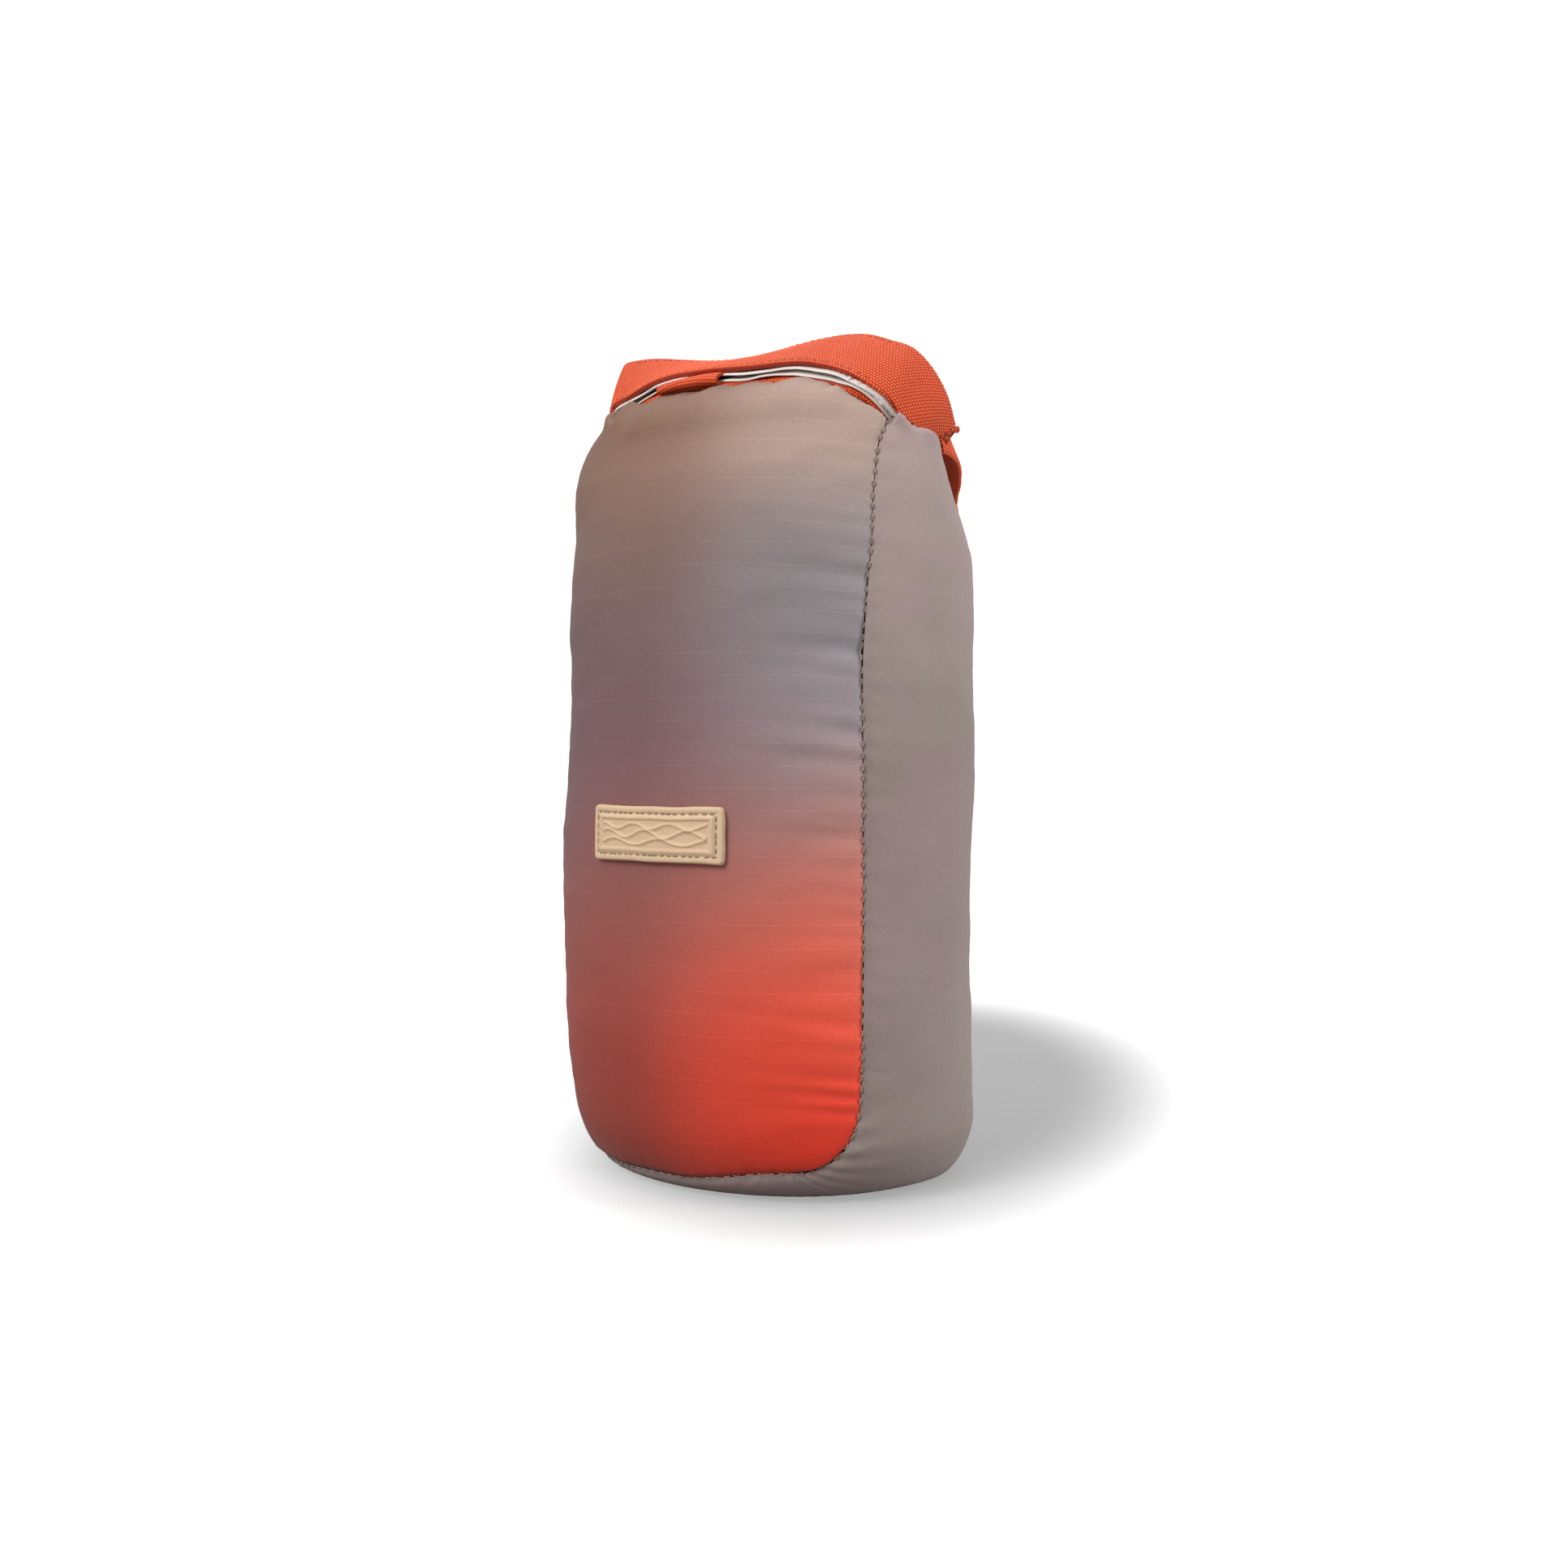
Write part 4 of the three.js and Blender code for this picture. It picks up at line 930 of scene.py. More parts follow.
# back panel
U, V = surface_uv(BACK0)
edgeU = np.abs(U[:, -1:]); d_side = np.maximum(0, edgeU - np.abs(U))
X, Y, Z = BACK0[..., 0], BACK0[..., 1], BACK0[..., 2]
D = seam_roll(d_side) + seam_roll(V) * (1 - smooth(30, 40, Z))
D += puckers(d_side, V, 61, 7.4, 0.42, 18, 22, 250) + puckers(V, U, 63, 4.6, 0.38, 7.5, -48, 48) * (1 - smooth(18, 30, Z))
D += 0.7 * noise(U / 44, V / 24, 71) + 0.3 * noise(U / 20, V / 10, 73) * smooth(20, 60, np.abs(U))
D += smooth(236, 254, Z) * (0.5 * noise(X / 7, Z / 30, 75) + 0.3 * noise(X / 3.6, Z / 26, 77))
D += -1.6 * bell(np.abs(U), edgeU - 13, 8) * smooth(190, 205, Z) * (1 - smooth(238, 250, Z))
BACK, PB, NB = finish_panel("back_panel_cloth", BACK0, D, (U, V), M_BACK, "sack")
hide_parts("back_panel")

# gusset
u_, v_ = arc_uv(GUS0)
mid = GUS0.shape[1] // 2
U = u_ - u_[:, mid:mid + 1]; V = np.repeat(v_[:, mid:mid + 1], GUS0.shape[1], 1)
half_len = np.abs(u_[:, -1:] - u_[:, mid:mid + 1])
d_f, d_b = u_, u_[:, -1:] - u_
X, Y, Z = GUS0[..., 0], GUS0[..., 1], GUS0[..., 2]
D = seam_roll(d_f) + seam_roll(d_b)
VE = np.repeat(v_[:, :1], GUS0.shape[1], 1)
low = 1 - smooth(40, 60, Z)
D += (puckers(d_f, V, 81, 7.4, 0.34, 7.5, 30, V.max() - 30) + puckers(d_b, V, 83, 7.4, 0.34, 8.5, 30, V.max() - 30)) * (1 - low)
D += low * (puckers(d_f, VE, 85, 4.4, 0.34, 6, 200, VE.max() - 200) + puckers(d_b, VE, 87, 4.4, 0.34, 6, 200, VE.max() - 200)) * smooth(0.5, 4, Z)
D += (0.6 * noise(U / 30, V / 34, 91) + 0.25 * noise(U / 14, V / 12, 93)) * smooth(1, 14, Z)
ang = np.degrees(np.arctan2(14 - np.minimum(Z, 40), np.abs(X) - 38))
corner = np.exp(-((np.hypot(np.abs(X) - 44, Z - 22)) / 17) ** 2) * (Y < 0)
D += corner * (0.8 * np.sin(d_f * 0.0 + ang * 0.42) * np.exp(-d_f / 13))
# top of the gusset: a bulge over the end of the band, and a deep pleat beside the seam
topz = smooth(228, 250, Z) * (X > 0)
D += (X > 0) * (1.7 * bell(Y + 0.45 * (Z - 248), -16.4, 2.0) * smooth(238, 249, Z) - 3.4 * bell(Y + 0.5 * (Z - 248), -12.4, 1.5) * smooth(241, 249, Z) + 2.4 * bell(Y, -4, 6.0) * smooth(236, 249, Z))
D += smooth(232, 252, Z) * (0.4 * noise(Y / 7, Z / 22, 95) + 0.2 * noise(Y / 3.6, Z / 20, 97))
GUSSET, PG, NG = finish_panel("gusset_cloth", GUS0, D, (U, V), M_TAUPE, "sack")
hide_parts("gusset_panel")

# seam stitches lie in the groove between the panels
def seam_line(P, N, Q):
    return (P + Q) / 2, N
ns = 34
def groove(panel, normals, col, other):
    a = panel[:, col]
    return a, normals[:, col]
for nm, P, N, sgn in (("front", PF, NF, 1), ("back", PB, NB, -1)):
    left_e, bottom, right_e = P[::-1, 0], P[0, 1:-1], P[:, -1]
    ln, bn, rn = N[::-1, 2], N[2, 1:-1], N[:, -3]
    line = np.concatenate([left_e, bottom, right_e]); nn = np.concatenate([ln, bn, rn])
    keep = line[:, 2] < 252
    st = stitches(nm + "_seam_stitches", line[keep], nn[keep], M_TH, 3.7, 2.0, 0.23, 0.42, 0.16, 0.5, 7 if sgn > 0 else 8)
    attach(st, "sack"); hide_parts(nm + "_seam_thread")

# ------------------------------------------------------------------ rubber patch
def front_point(x, z, up_):
    y = -half_d(z) * np.sqrt(np.maximum(0, 1 - (x / half_w(z)) ** 2))
    e = 0.5
    da, db = (half_w(z + e) - half_w(z - e)) / (2 * e), (half_d(z + e) - half_d(z - e)) / (2 * e)
    a, b = half_w(z), half_d(z)
    n = unit(np.stack([x / a**2, y / b**2, -x * x * da / a**3 - y * y * db / b**3], -1))
    return np.stack(np.broadcast_arrays(x, y, z), -1) + n * np.asarray(up_)[..., None], n


PW, PH = 52.0, 18.0
p = np.linspace(-0.5, 0.5, 241)[None, :] * np.ones((93, 1)); q = np.linspace(-0.5, 0.5, 93)[:, None] * np.ones((1, 241))
# outline: slightly bowed sides and rounded corners
rx, ry = p * PW, q * PH
rx = rx * (1 + 0.012 * np.cos(np.pi * q) - 0.006) + 0.15 * noise(ry / 5, p * 0 + (p > 0), 3)
ry = ry * (1 - 0.03 * np.cos(np.pi * p)) + 0.15 * noise(rx / 9, q * 0 + (q > 0), 5)
dx, dy = PW / 2 - np.abs(p) * PW, PH / 2 - np.abs(q) * PH
r = 1.3
cd = np.where((dx < r) & (dy < r), r - np.hypot(r - dx, r - dy), np.minimum(dx, dy))
shrink = np.where((dx < r) & (dy < r), np.maximum(0, np.maximum(r - dx, r - dy) * 0.28 - 0.0) * np.minimum(r - dx, r - dy) / r, 0)
rx -= np.sign(p) * shrink; ry -= np.sign(q) * shrink
h = 2.0 * np.sqrt(np.clip(cd / 0.7, 0, 1)) * 0.5 + 1.0 + 0 * cd
h = 0.5 + 1.5 * np.sqrt(1 - (1 - np.clip(cd / 0.8, 0, 1)) ** 2)
h -= 0.45 * np.exp(-((cd - 2.3) / 0.42) ** 2)                       # stitched groove
h += 0.30 * smooth(2.9, 3.5, cd) - 0.62 * smooth(4.1, 4.6, cd)        # inner frame and sunk field
inner_w = smooth(4.9, 5.6, cd)
# relief of the field: rolling hill lines
for k_, (a0, amp_, ph) in enumerate(((-2.4, 1.15, 0.4), (0.1, 1.35, 2.3), (2.5, 1.0, 4.4))):
    ridge = ry - a0 - amp_ * np.sin(rx * (0.34 + 0.05 * k_) + ph) * 0.9
    h += inner_w * 0.62 * np.exp(-(ridge / 0.55) ** 2)
h += 0.03 * noise(rx / 0.9, ry / 0.9, 9)
tiltp = 0.0
outer, pn = front_point(rx + 0 * ry, 115 + ry, h + 0.30)
base_, _ = front_point(rx + 0 * ry, 115 + ry, 0 * h + 0.05)
PATCH = sheet("rubber_patch", outer, base_, np.stack([rx, ry], -1), M_RUB, 65)
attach(PATCH, "sack"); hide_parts("patch")
g_ = 2.3
cx, cz = PW / 2 - g_, PH / 2 - g_
loop = [(-cx, -cz), (cx, -cz), (cx, cz), (-cx, cz), (-cx, -cz)]
pts = np.concatenate([np.linspace(loop[i], loop[i + 1], 60)[:-1] for i in range(4)] + [np.array([loop[0]])])
ln_, nn_ = front_point(pts[:, 0], 115 + pts[:, 1] * (1 - 0.03 * np.cos(np.pi * pts[:, 0] / PW)), np.full(len(pts), 1.95))
PST = stitches("patch_stitches", ln_, nn_, M_TH_P, 2.6, 1.9, 0.22, 0.12, 0.0, 0.4, 21)
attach(PST, "sack"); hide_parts("patch_thread")

# ------------------------------------------------------------------ pull tab: a folded loop of tape on the front lip
xs = np.linspace(-25.5, 1.0, 150)
sec = np.array([(24.0, 4.6), (27.5, 5.1), (29.6, 5.0), (31.2, 4.1), (31.6, 2.9), (30.8, 1.8), (29.0, 1.3), (26.5, 1.25)])
fine, _ = catmull(np.c_[sec, np.zeros(len(sec))], 44)
X = np.repeat(xs[:, None], len(fine), 1)
wv = 0.35 * np.sin((xs + 25) / 5.2)[:, None] * smooth(25, 30, fine[None, :, 0])
fat = 1 + 0.10 * np.sin((xs + 20) / 8.5)[:, None]
S = 26 + (fine[None, :, 0] - 26) * fat + wv
H = 3.1 + (fine[None, :, 1] - 3.1) * fat * (0.82 + 0.10 * smooth(-26, 0, X)) + 0.25 * wv + 0.6 * smooth(-26, 0, X)
g = lip(X, S, H)
n = grid_normals(g)
c_ = lip(xs, 28.0, 3.2)[:, None]
if np.einsum("ijk,ijk->", n, g - c_) < 0: n = -n
UU, VV = arc_uv(g); UU, VV = VV, UU
rel = 0.16 * (np.abs(np.sin((UU + 1.1 * np.abs(np.mod(VV, 2.4) - 1.2)) * np.pi / 1.15))) ** 0.7
TAB = sheet("pull_tab_loop", g + n * rel[..., None], g - n * 1.0, np.stack([UU, VV], -1), M_WEB, 75)
tuple(lip(0, 24.5, 2.5)[()] * MM * np.array([0, 1, 1]))
tuple(lip(0, 29.5, 2.5)[()] * MM * np.array([0, 1, 1]))
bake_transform(TAB)
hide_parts("pull_tab")

# ------------------------------------------------------------------ stitches along the webbing
for body, nm0, h0, node in (("lip_back", "back_webbing_stitches", 7.9, "back_webbing_thread"), ("lip_front", "front_webbing_stitches", None, "front_webbing_thread")):
    for side, nm in ((-1, "left"), (1, "right")):
        x = np.linspace(0.4, 54.5, 160) * side
        parts = []
        for s_ in (2.6, 24.6):
            if body == "lip_back":
                col = 9 if s_ < 5 else 91
                g, n = BAND[nm]
                m_ = np.abs(g[:, col, 0]) < 57
                line, nn = g[m_, col], n[m_, col]
                off = 0.12
            else:
                line = lip(x, s_, 0.85 + gap(x) - 0.35); nn = -unit(lip(x, s_, 5) - lip(x, s_, 0)); off = 0.1
            parts.append((line, nn, off))
        for kk, (line, nn, off) in enumerate(parts):
            o = stitches(f"{nm0}_{nm}_{kk}", line, nn, M_TH_O, 2.9, 2.2, 0.2, off, 0.0, 0.35, 40 + kk)
            half_blend(o)
        if side < 0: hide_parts(node)

# ------------------------------------------------------------------ rear loop: straps and buckle
bt = math.radians(20)
BL, BW, BN = np.array([1.0, 0, 0]), np.array([0, -math.sin(bt), math.cos(bt)]), np.array([0, math.cos(bt), math.sin(bt)])
BC = np.array([0, 54, 236.5])
at_b = lambda l, w, n_: BC + np.multiply.outer(l, BL) + np.multiply.outer(w, BW) + np.multiply.outer(n_, BN)
STRAP = [(60.5, 8.0, 249.6), (59.0, 15.0, 249.4), (56.4, 22.5, 248.2), (52.8, 29.5, 246.2), (48.8, 36.2, 243.6), (44.8, 42.6, 240.8), (41.6, 48.4, 238.6)]
TURN = [(37.4, 1.8), (34, 2.9), (30.5, 3.05), (28.2, 2.9), (26.6, 1.7), (26.1, 0), (26.6, -1.7), (28.2, -2.9), (30.5, -3.05), (34, -2.3), (37.5, -1.2)]
for side, nm in ((-1, "left"), (1, "right")):
    pts = [np.array([x * side, y, z], float) for x, y, z in STRAP] + [at_b(l * side, 0.0, n_) for l, n_ in TURN]
    hints = [np.array([-0.28 * side, -0.1, 0.94]), np.array([-0.28 * side, -0.2, 0.94]), np.array([-0.26 * side, -0.28, 0.93])] + [np.array([-0.22 * side * (1 - i / 4), -0.34, 0.92]) for i in range(4)] + [BW] * len(TURN)
    C, L = catmull(pts, 300)
    key = np.linspace(0, 1, len(hints)); t = np.linspace(0, 1, 300)
    # hints follow the stations, not the length
    seglen = np.concatenate([[0], np.cumsum(np.linalg.norm(np.diff(np.array(pts), axis=0), axis=1))]); seglen /= seglen[-1]
    Hn = unit(np.stack([np.interp(t, seglen, np.array(hints)[:, i]) for i in range(3)], 1))
    T = unit(np.gradient(C, axis=0)); N = unit(np.cross(T, Hn)); W = unit(np.cross(N, T))
    w = np.linspace(-12.2, 12.2, 58)
    g = C[:, None] + W[:, None] * w[None, :, None]
    g[..., :] += N[:, None] * (0.25 * np.sin(np.linspace(0, 9, 300))[:, None, None] * (w / 12.2)[None, :, None])
    n = np.repeat(N[:, None], 58, 1)
    s_out = 1.0
    ob = tape_mesh("strap_" + nm, g + n * 0.75, n, 1.35, M_WEB, edge=0.1)
    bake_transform(ob)
    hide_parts(nm + "_strap")
    # box of stitches beside the buckle
    fr = [at_b(l * side, 0.0, 3.9) for l in (40.0, 34.5)]
    box_ = []
    for l0, w0, l1, w1 in ((40, -10, 40, 10), (40, 10, 34.5, 10), (34.5, 10, 34.5, -10), (34.5, -10, 40, -10), (40, -10, 34.5, 10), (40, 10, 34.5, -10)):
        qv = np.linspace(0, 1, 12)
        box_.append(at_b((l0 + (l1 - l0) * qv) * side, w0 + (w1 - w0) * qv, 3.0 + 0.8 * np.ones(12)))
    line = np.concatenate(box_)
    tree = bvh_of((g + n * 0.75))
    tree2 = bvh_of((g - n * 0.6))
    res = []
    for p_ in line:
        best = None
        for tr in (tree, tree2):
            hit = tr.ray_cast(Vector(p_ + BN * 6), Vector(-BN), 14)
            if hit[0] is not None and (best is None or hit[3] < best[1]): best = (np.array(hit[0]), hit[3])
        res.append(best[0] if best else p_)
    line = np.array(res)
    st = stitches(nm + "_strap_stitches", line, np.repeat(BN[None], len(line), 0), M_TH_O, 2.4, 1.9, 0.22, 0.22, 0.0, 0.35, 60)
    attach(st, "rear_loop"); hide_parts(nm + "_strap_thread")


def plate(outline_, n0, n1, bevel=0.7, steps=4):
    """slab outline in buckle coordinates, wound counter-clockwise, returned with its two face heights"""
    o = np.array(outline_, float)
    if 0.5 * np.sum(o[:, 0] * np.roll(o[:, 1], -1) - np.roll(o[:, 0], -1) * o[:, 1]) < 0: o = o[::-1]
    return o, n0, n1


def buckle_object(name, build, body, nodes):
    import bmesh
    bm = bmesh.new()
    build(bm)
    me = bpy.data.meshes.new(name)
    bm.to_mesh(me); bm.free()
    co = np.zeros(len(me.vertices) * 3); me.vertices.foreach_get("co", co); co = co.reshape(-1, 3)
    w = BC + co[:, :1] * BL + co[:, 1:2] * BW + co[:, 2:] * BN
    # (l, w, n) is left handed, so the faces are turned round
    me.vertices.foreach_set("co", (w * MM).ravel())
    me.flip_normals()
    lay = me.uv_layers.new(name="mm")
    idx = np.zeros(len(me.loops), np.int32); me.loops.foreach_get("vertex_index", idx)
    lay.data.foreach_set("uv", co[idx][:, :2].astype(np.float32).ravel())
    me.polygons.foreach_set("use_smooth", np.ones(len(me.polygons), bool))
    me.set_sharp_from_angle(angle=math.radians(38))
    me.materials.append(M_PLA)
    ob = bpy.data.objects.new(name, me)
    bpy.context.scene.collection.objects.link(ob)
    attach(ob, body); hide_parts(*nodes)
    return ob


def boolean_build(name, adds, cuts, body, nodes, bevel=0.55):
    """solids from outlines, joined and cut, then bevelled"""
    import bmesh

    def slab(ol, n0, n1):
        o = np.array(ol, float)
        area = 0.5 * np.sum(o[:, 0] * np.roll(o[:, 1], -1) - np.roll(o[:, 0], -1) * o[:, 1])
        if area < 0: o = o[::-1]
        bm = bmesh.new()
        a = [bm.verts.new((x, y, n0)) for x, y in o]; b = [bm.verts.new((x, y, n1)) for x, y in o]
        bm.faces.new(a[::-1]); bm.faces.new(b)
        for i in range(len(o)):
            j = (i + 1) % len(o)
            bm.faces.new((a[i], a[j], b[j], b[i]))
        me = bpy.data.meshes.new("slab"); bm.to_mesh(me); bm.free()
        ob = bpy.data.objects.new("slab", me); bpy.context.scene.collection.objects.link(ob)
        return ob
    obs = [slab(*a) for a in adds]; cut = [slab(*c) for c in cuts]
    main = obs[0]
    for o in obs[1:]:
        m = main.modifiers.new("j", "BOOLEAN"); m.operation = "UNION"; m.object = o; m.solver = "EXACT"
    for o in cut:
        m = main.modifiers.new("c", "BOOLEAN"); m.operation = "DIFFERENCE"; m.object = o; m.solver = "EXACT"
    m = main.modifiers.new("b", "BEVEL"); m.width = bevel; m.segments = 3; m.limit_method = "ANGLE"; m.angle_limit = math.radians(28)
    dg = bpy.context.evaluated_depsgraph_get(); dg.update()
    me = bpy.data.meshes.new_from_object(main.evaluated_get(dg), depsgraph=dg)
    bm = bmesh.new(); bm.from_mesh(me)
    def build(b2):
        tmp = bpy.data.meshes.new("t"); bm.to_mesh(tmp); b2.from_mesh(tmp); bpy.data.meshes.remove(tmp)
    for o in obs + cut: bpy.data.objects.remove(o)
    ob = buckle_object(name, build, body, nodes)
    bm.free()
    return ob


def box2(l0, l1, w0, w1): return [(l0, w0), (l1, w0), (l1, w1), (l0, w1)]
def arcpts(cx_, cy_, r_, a0, a1, n_=6): return [(cx_ + r_ * math.cos(math.radians(a)), cy_ + r_ * math.sin(math.radians(a))) for a in np.linspace(a0, a1, n_)]
c3 = 3.2
FEM = [([(-2.6, -14.6)] + [(0, -15.5), (20, -15.5), (22.8, -15), (22.8, 15), (20, 15.5), (0, 15.5), (-2.6, 14.6)], -4.6, 4.6),
       ([(21, -15.5)] + arcpts(31 - c3, -15.5 + c3, c3, -90, 0) + arcpts(31 - c3, 15.5 - c3, c3, 0, 90) + [(21, 15.5)], -1.6, 1.6)]
FEMC = [(box2(-4, 19, -12.6, 12.6), -2.9, 2.9), (box2(5.2, 15.2, 12, 17), -2.9, 2.9), (box2(5.2, 15.2, -17, -12), -2.9, 2.9), (box2(23.6, 28, -13.1, 13.1), -6, 6),
        ([(7.5, -6.5), (15.5, 0), (7.5, 6.5), (8.6, 0)], 4.2, 6.0), ([(7.5, -6.5), (15.5, 0), (7.5, 6.5), (8.6, 0)], -6.0, -4.2)]
boolean_build("buckle_female_shell", FEM, FEMC, "rear_loop", ["buckle_female"], 0.5)
MALE = [([(-22, -15), (-12, -15), (-7, -13.4), (-3.3, -13.4), (-3.3, 13.4), (-7, 13.4), (-12, 15), (-22, 15)], -3.2, 3.2),
        ([(-20, 15.5)] + arcpts(-31 + c3, 15.5 - c3, c3, 90, 180) + arcpts(-31 + c3, -15.5 + c3, c3, 180, 270) + [(-20, -15.5)], -1.6, 1.6),
        (box2(-6, 12.5, -1.6, 1.6), -1.6, 1.6)]
MALEC = [(box2(-28, -23.6, -13.1, 13.1), -6, 6)] + [(box2(-20.5 + i * 2.2, -19.5 + i * 2.2, -10, 10), 2.7, 5) for i in range(4)] + [(box2(-20.5 + i * 2.2, -19.5 + i * 2.2, -10, 10), -5, -2.7) for i in range(4)]
boolean_build("buckle_male_body", MALE, MALEC, "rear_loop", ["buckle_male"], 0.45)
PRONG = [(-2.7, 7.0), (5, 7.4), (14, 8.0), (14, 10.0), (12.6, 11.6), (9.0, 13.9), (5.8, 13.9), (5.4, 10.6), (-2.7, 10.0)]
boolean_build("buckle_prong_upper_arm", [(PRONG, -2.0, 2.0)], [(box2(6.6, 7.2, 12.9, 15), -3, 3), (box2(8.0, 8.6, 12.9, 15), -3, 3)], "prong_upper", ["buckle_prong_upper"], 0.35)
boolean_build("buckle_prong_lower_arm", [([(a, -b) for a, b in PRONG], -2.0, 2.0)], [(box2(6.6, 7.2, -15, -12.9), -3, 3), (box2(8.0, 8.6, -15, -12.9), -3, 3)], "prong_lower", ["buckle_prong_lower"], 0.35)

# ------------------------------------------------------------------ packed pillow
PILLOW = [(5, 0.78), (9, 0.90), (16, 0.965), (30, 1), (60, 1), (100, 1), (140, 1), (180, 1), (212, 0.985), (228, 0.95), (238, 0.87), (244, 0.72)]
PZ, PFx = np.array([p_[0] for p_ in PILLOW], float), np.array([p_[1] for p_ in PILLOW], float)


def pillow_surface(inset, nz=110, nt=150, top=247.5, wrinkle=1.0):
    z = np.concatenate([np.linspace(5, 244, nz), [245.6, 246.8, top, top]])
    f = np.concatenate([pchip(PZ, PFx, np.linspace(5, 244, nz)), [0.60, 0.47, 0.36, 0.30]])
    t = np.linspace(0, 2 * np.pi, nt, endpoint=False)
    Zg, Tg = np.meshgrid(z, t, indexing="ij")
    a, b = (half_w(np.minimum(Zg, 244)) - 4.3 - inset) * f[:, None], (half_d(np.minimum(Zg, 244)) - 4.3 - inset) * f[:, None]
    w = wrinkle * (1.1 * noise(Tg * 5.0, Zg / 60, 101) * smooth(20, 60, Zg) + 0.9 * noise(np.cos(Tg) * 4 + 9, Zg / 16 + np.sin(Tg) * 3, 103)) - 1.6 * wrinkle
    w = w + smooth(225, 246, Zg) * 1.6 * np.sin(Tg * 13 + 1.4 * noise(Tg * 2, Zg / 20, 105)) * wrinkle
    return np.stack([(a + w) * np.sin(Tg), -(b + w) * np.cos(Tg), Zg], -1)


def ring_mesh(name, g, mat, bottom=True, top=True, uvscale=(1, 1)):
    nz, nt = g.shape[:2]
    i, j = np.meshgrid(np.arange(nz - 1), np.arange(nt), indexing="ij")
    a, b = (i * nt + j).ravel(), (i * nt + (j + 1) % nt).ravel()
    quads = np.stack([a, b, b + nt, a + nt], 1)
    verts = g.reshape(-1, 3); tris = []
    uv = np.stack([np.tile(np.linspace(0, 400, nt), nz), np.repeat(np.concatenate([[0], np.cumsum(np.linalg.norm(np.diff(g[:, 0], axis=0), axis=1))]), nt)], 1)
    k_ = np.arange(nt)
    if bottom:
        verts = np.concatenate([verts, g[0].mean(0, keepdims=True)]); c_ = len(verts) - 1
        tris.append(np.stack([np.full(nt, c_), (k_ + 1) % nt, k_], 1)); uv = np.concatenate([uv, [[200, 0]]])
    if top:
        verts = np.concatenate([verts, g[-1].mean(0, keepdims=True)]); c_ = len(verts) - 1
        tris.append(np.stack([np.full(nt, c_), (nz - 1) * nt + k_, (nz - 1) * nt + (k_ + 1) % nt], 1)); uv = np.concatenate([uv, [[200, 300]]])
    return add_mesh(name, verts, [quads] + ([np.concatenate(tris)] if tris else []), uv, mat, 80)


cover_out = pillow_surface(0.0)
COVER = ring_mesh("pillow_cover_knit_skin", cover_out, M_KNIT, True, True)
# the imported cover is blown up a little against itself, so that it creases like stuffed cloth
rest = np.zeros(len(COVER.data.vertices) * 3); COVER.data.vertices.foreach_get("co", rest); rest = rest.reshape(-1, 3)
bpy.context.view_layer.objects.active = COVER
cl = COVER.modifiers.new("cloth", "CLOTH")
s_ = cl.settings
s_.quality, s_.mass = 6, 0.12
s_.use_pressure, s_.uniform_pressure_force = True, 4.0
s_.tension_stiffness = s_.compression_stiffness = 14; s_.shear_stiffness = 6; s_.bending_stiffness = 0.08
s_.shrink_min = -0.05
s_.effector_weights.gravity = 0.0
sc = bpy.context.scene
for f_ in range(1, 15):
    sc.frame_set(f_)
dg = bpy.context.evaluated_depsgraph_get()
ev = COVER.evaluated_get(dg)
co = np.zeros(len(rest) * 3); ev.data.vertices.foreach_get("co", co); co = co.reshape(-1, 3)
COVER.modifiers.remove(cl)
sc.frame_set(1)
d = co - rest
L_ = np.linalg.norm(d, axis=1, keepdims=True)
d = d * np.minimum(1, 0.0022 / np.maximum(L_, 1e-9))
co = rest + d
lim_a, lim_b = half_w(np.clip(co[:, 2] / MM, 5, 250)) - 3.0, half_d(np.clip(co[:, 2] / MM, 5, 250)) - 3.0
e_ = np.sqrt((co[:, 0] / MM / lim_a) ** 2 + (co[:, 1] / MM / lim_b) ** 2)
co[:, :2] *= np.minimum(1, 1 / np.maximum(e_, 1e-6))[:, None]
co[:, 2] = np.clip(co[:, 2], 0.0042, 0.2485)
COVER.data.vertices.foreach_set("co", co.astype(np.float32).ravel()); COVER.data.update()
# the pillow gives way behind, where the sack is hollow under the straps
co = np.zeros(len(COVER.data.vertices) * 3); COVER.data.vertices.foreach_get("co", co); co = co.reshape(-1, 3)
co[:, 1] *= 1 - 0.18 * smooth(190, 228, co[:, 2] / MM) * (co[:, 1] > 0)
COVER.data.vertices.foreach_set("co", co.astype(np.float32).ravel()); COVER.data.update()
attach(COVER, "sack"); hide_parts("pillow_cover")
fill = pillow_surface(3.4, 70, 96, 243.0, 0.6)
fill[..., 2] = 9 + (fill[..., 2] - 5) * (236.0 / 242.5)
fill[..., 1] *= 1 - 0.18 * smooth(190, 228, fill[..., 2]) * (fill[..., 1] > 0)
FILL = ring_mesh("pillow_foam_fill", fill, M_FOAM)
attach(FILL, "sack"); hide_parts("pillow_fill")

# ------------------------------------------------------------------ stage, camera, lights
import bmesh
me = bpy.data.meshes.new("floor")
bm = bmesh.new(); bmesh.ops.create_grid(bm, x_segments=1, y_segments=1, size=9.0); bm.to_mesh(me); bm.free()
floor = bpy.data.objects.new("floor", me); bpy.context.scene.collection.objects.link(floor)
floor.location.z = -0.0003
fm = bpy.data.materials.new("floor_white"); fm.use_nodes = True
ft = fm.node_tree
for n_ in list(ft.nodes): ft.nodes.remove(n_)
fo = ft.nodes.new("ShaderNodeOutputMaterial")
dif_cam, dif_all, emi = ft.nodes.new("ShaderNodeBsdfDiffuse"), ft.nodes.new("ShaderNodeBsdfDiffuse"), ft.nodes.new("ShaderNodeEmission")
sx_, sy_ = ft.nodes.new("ShaderNodeTexCoord"), ft.nodes.new("ShaderNodeSeparateXYZ")
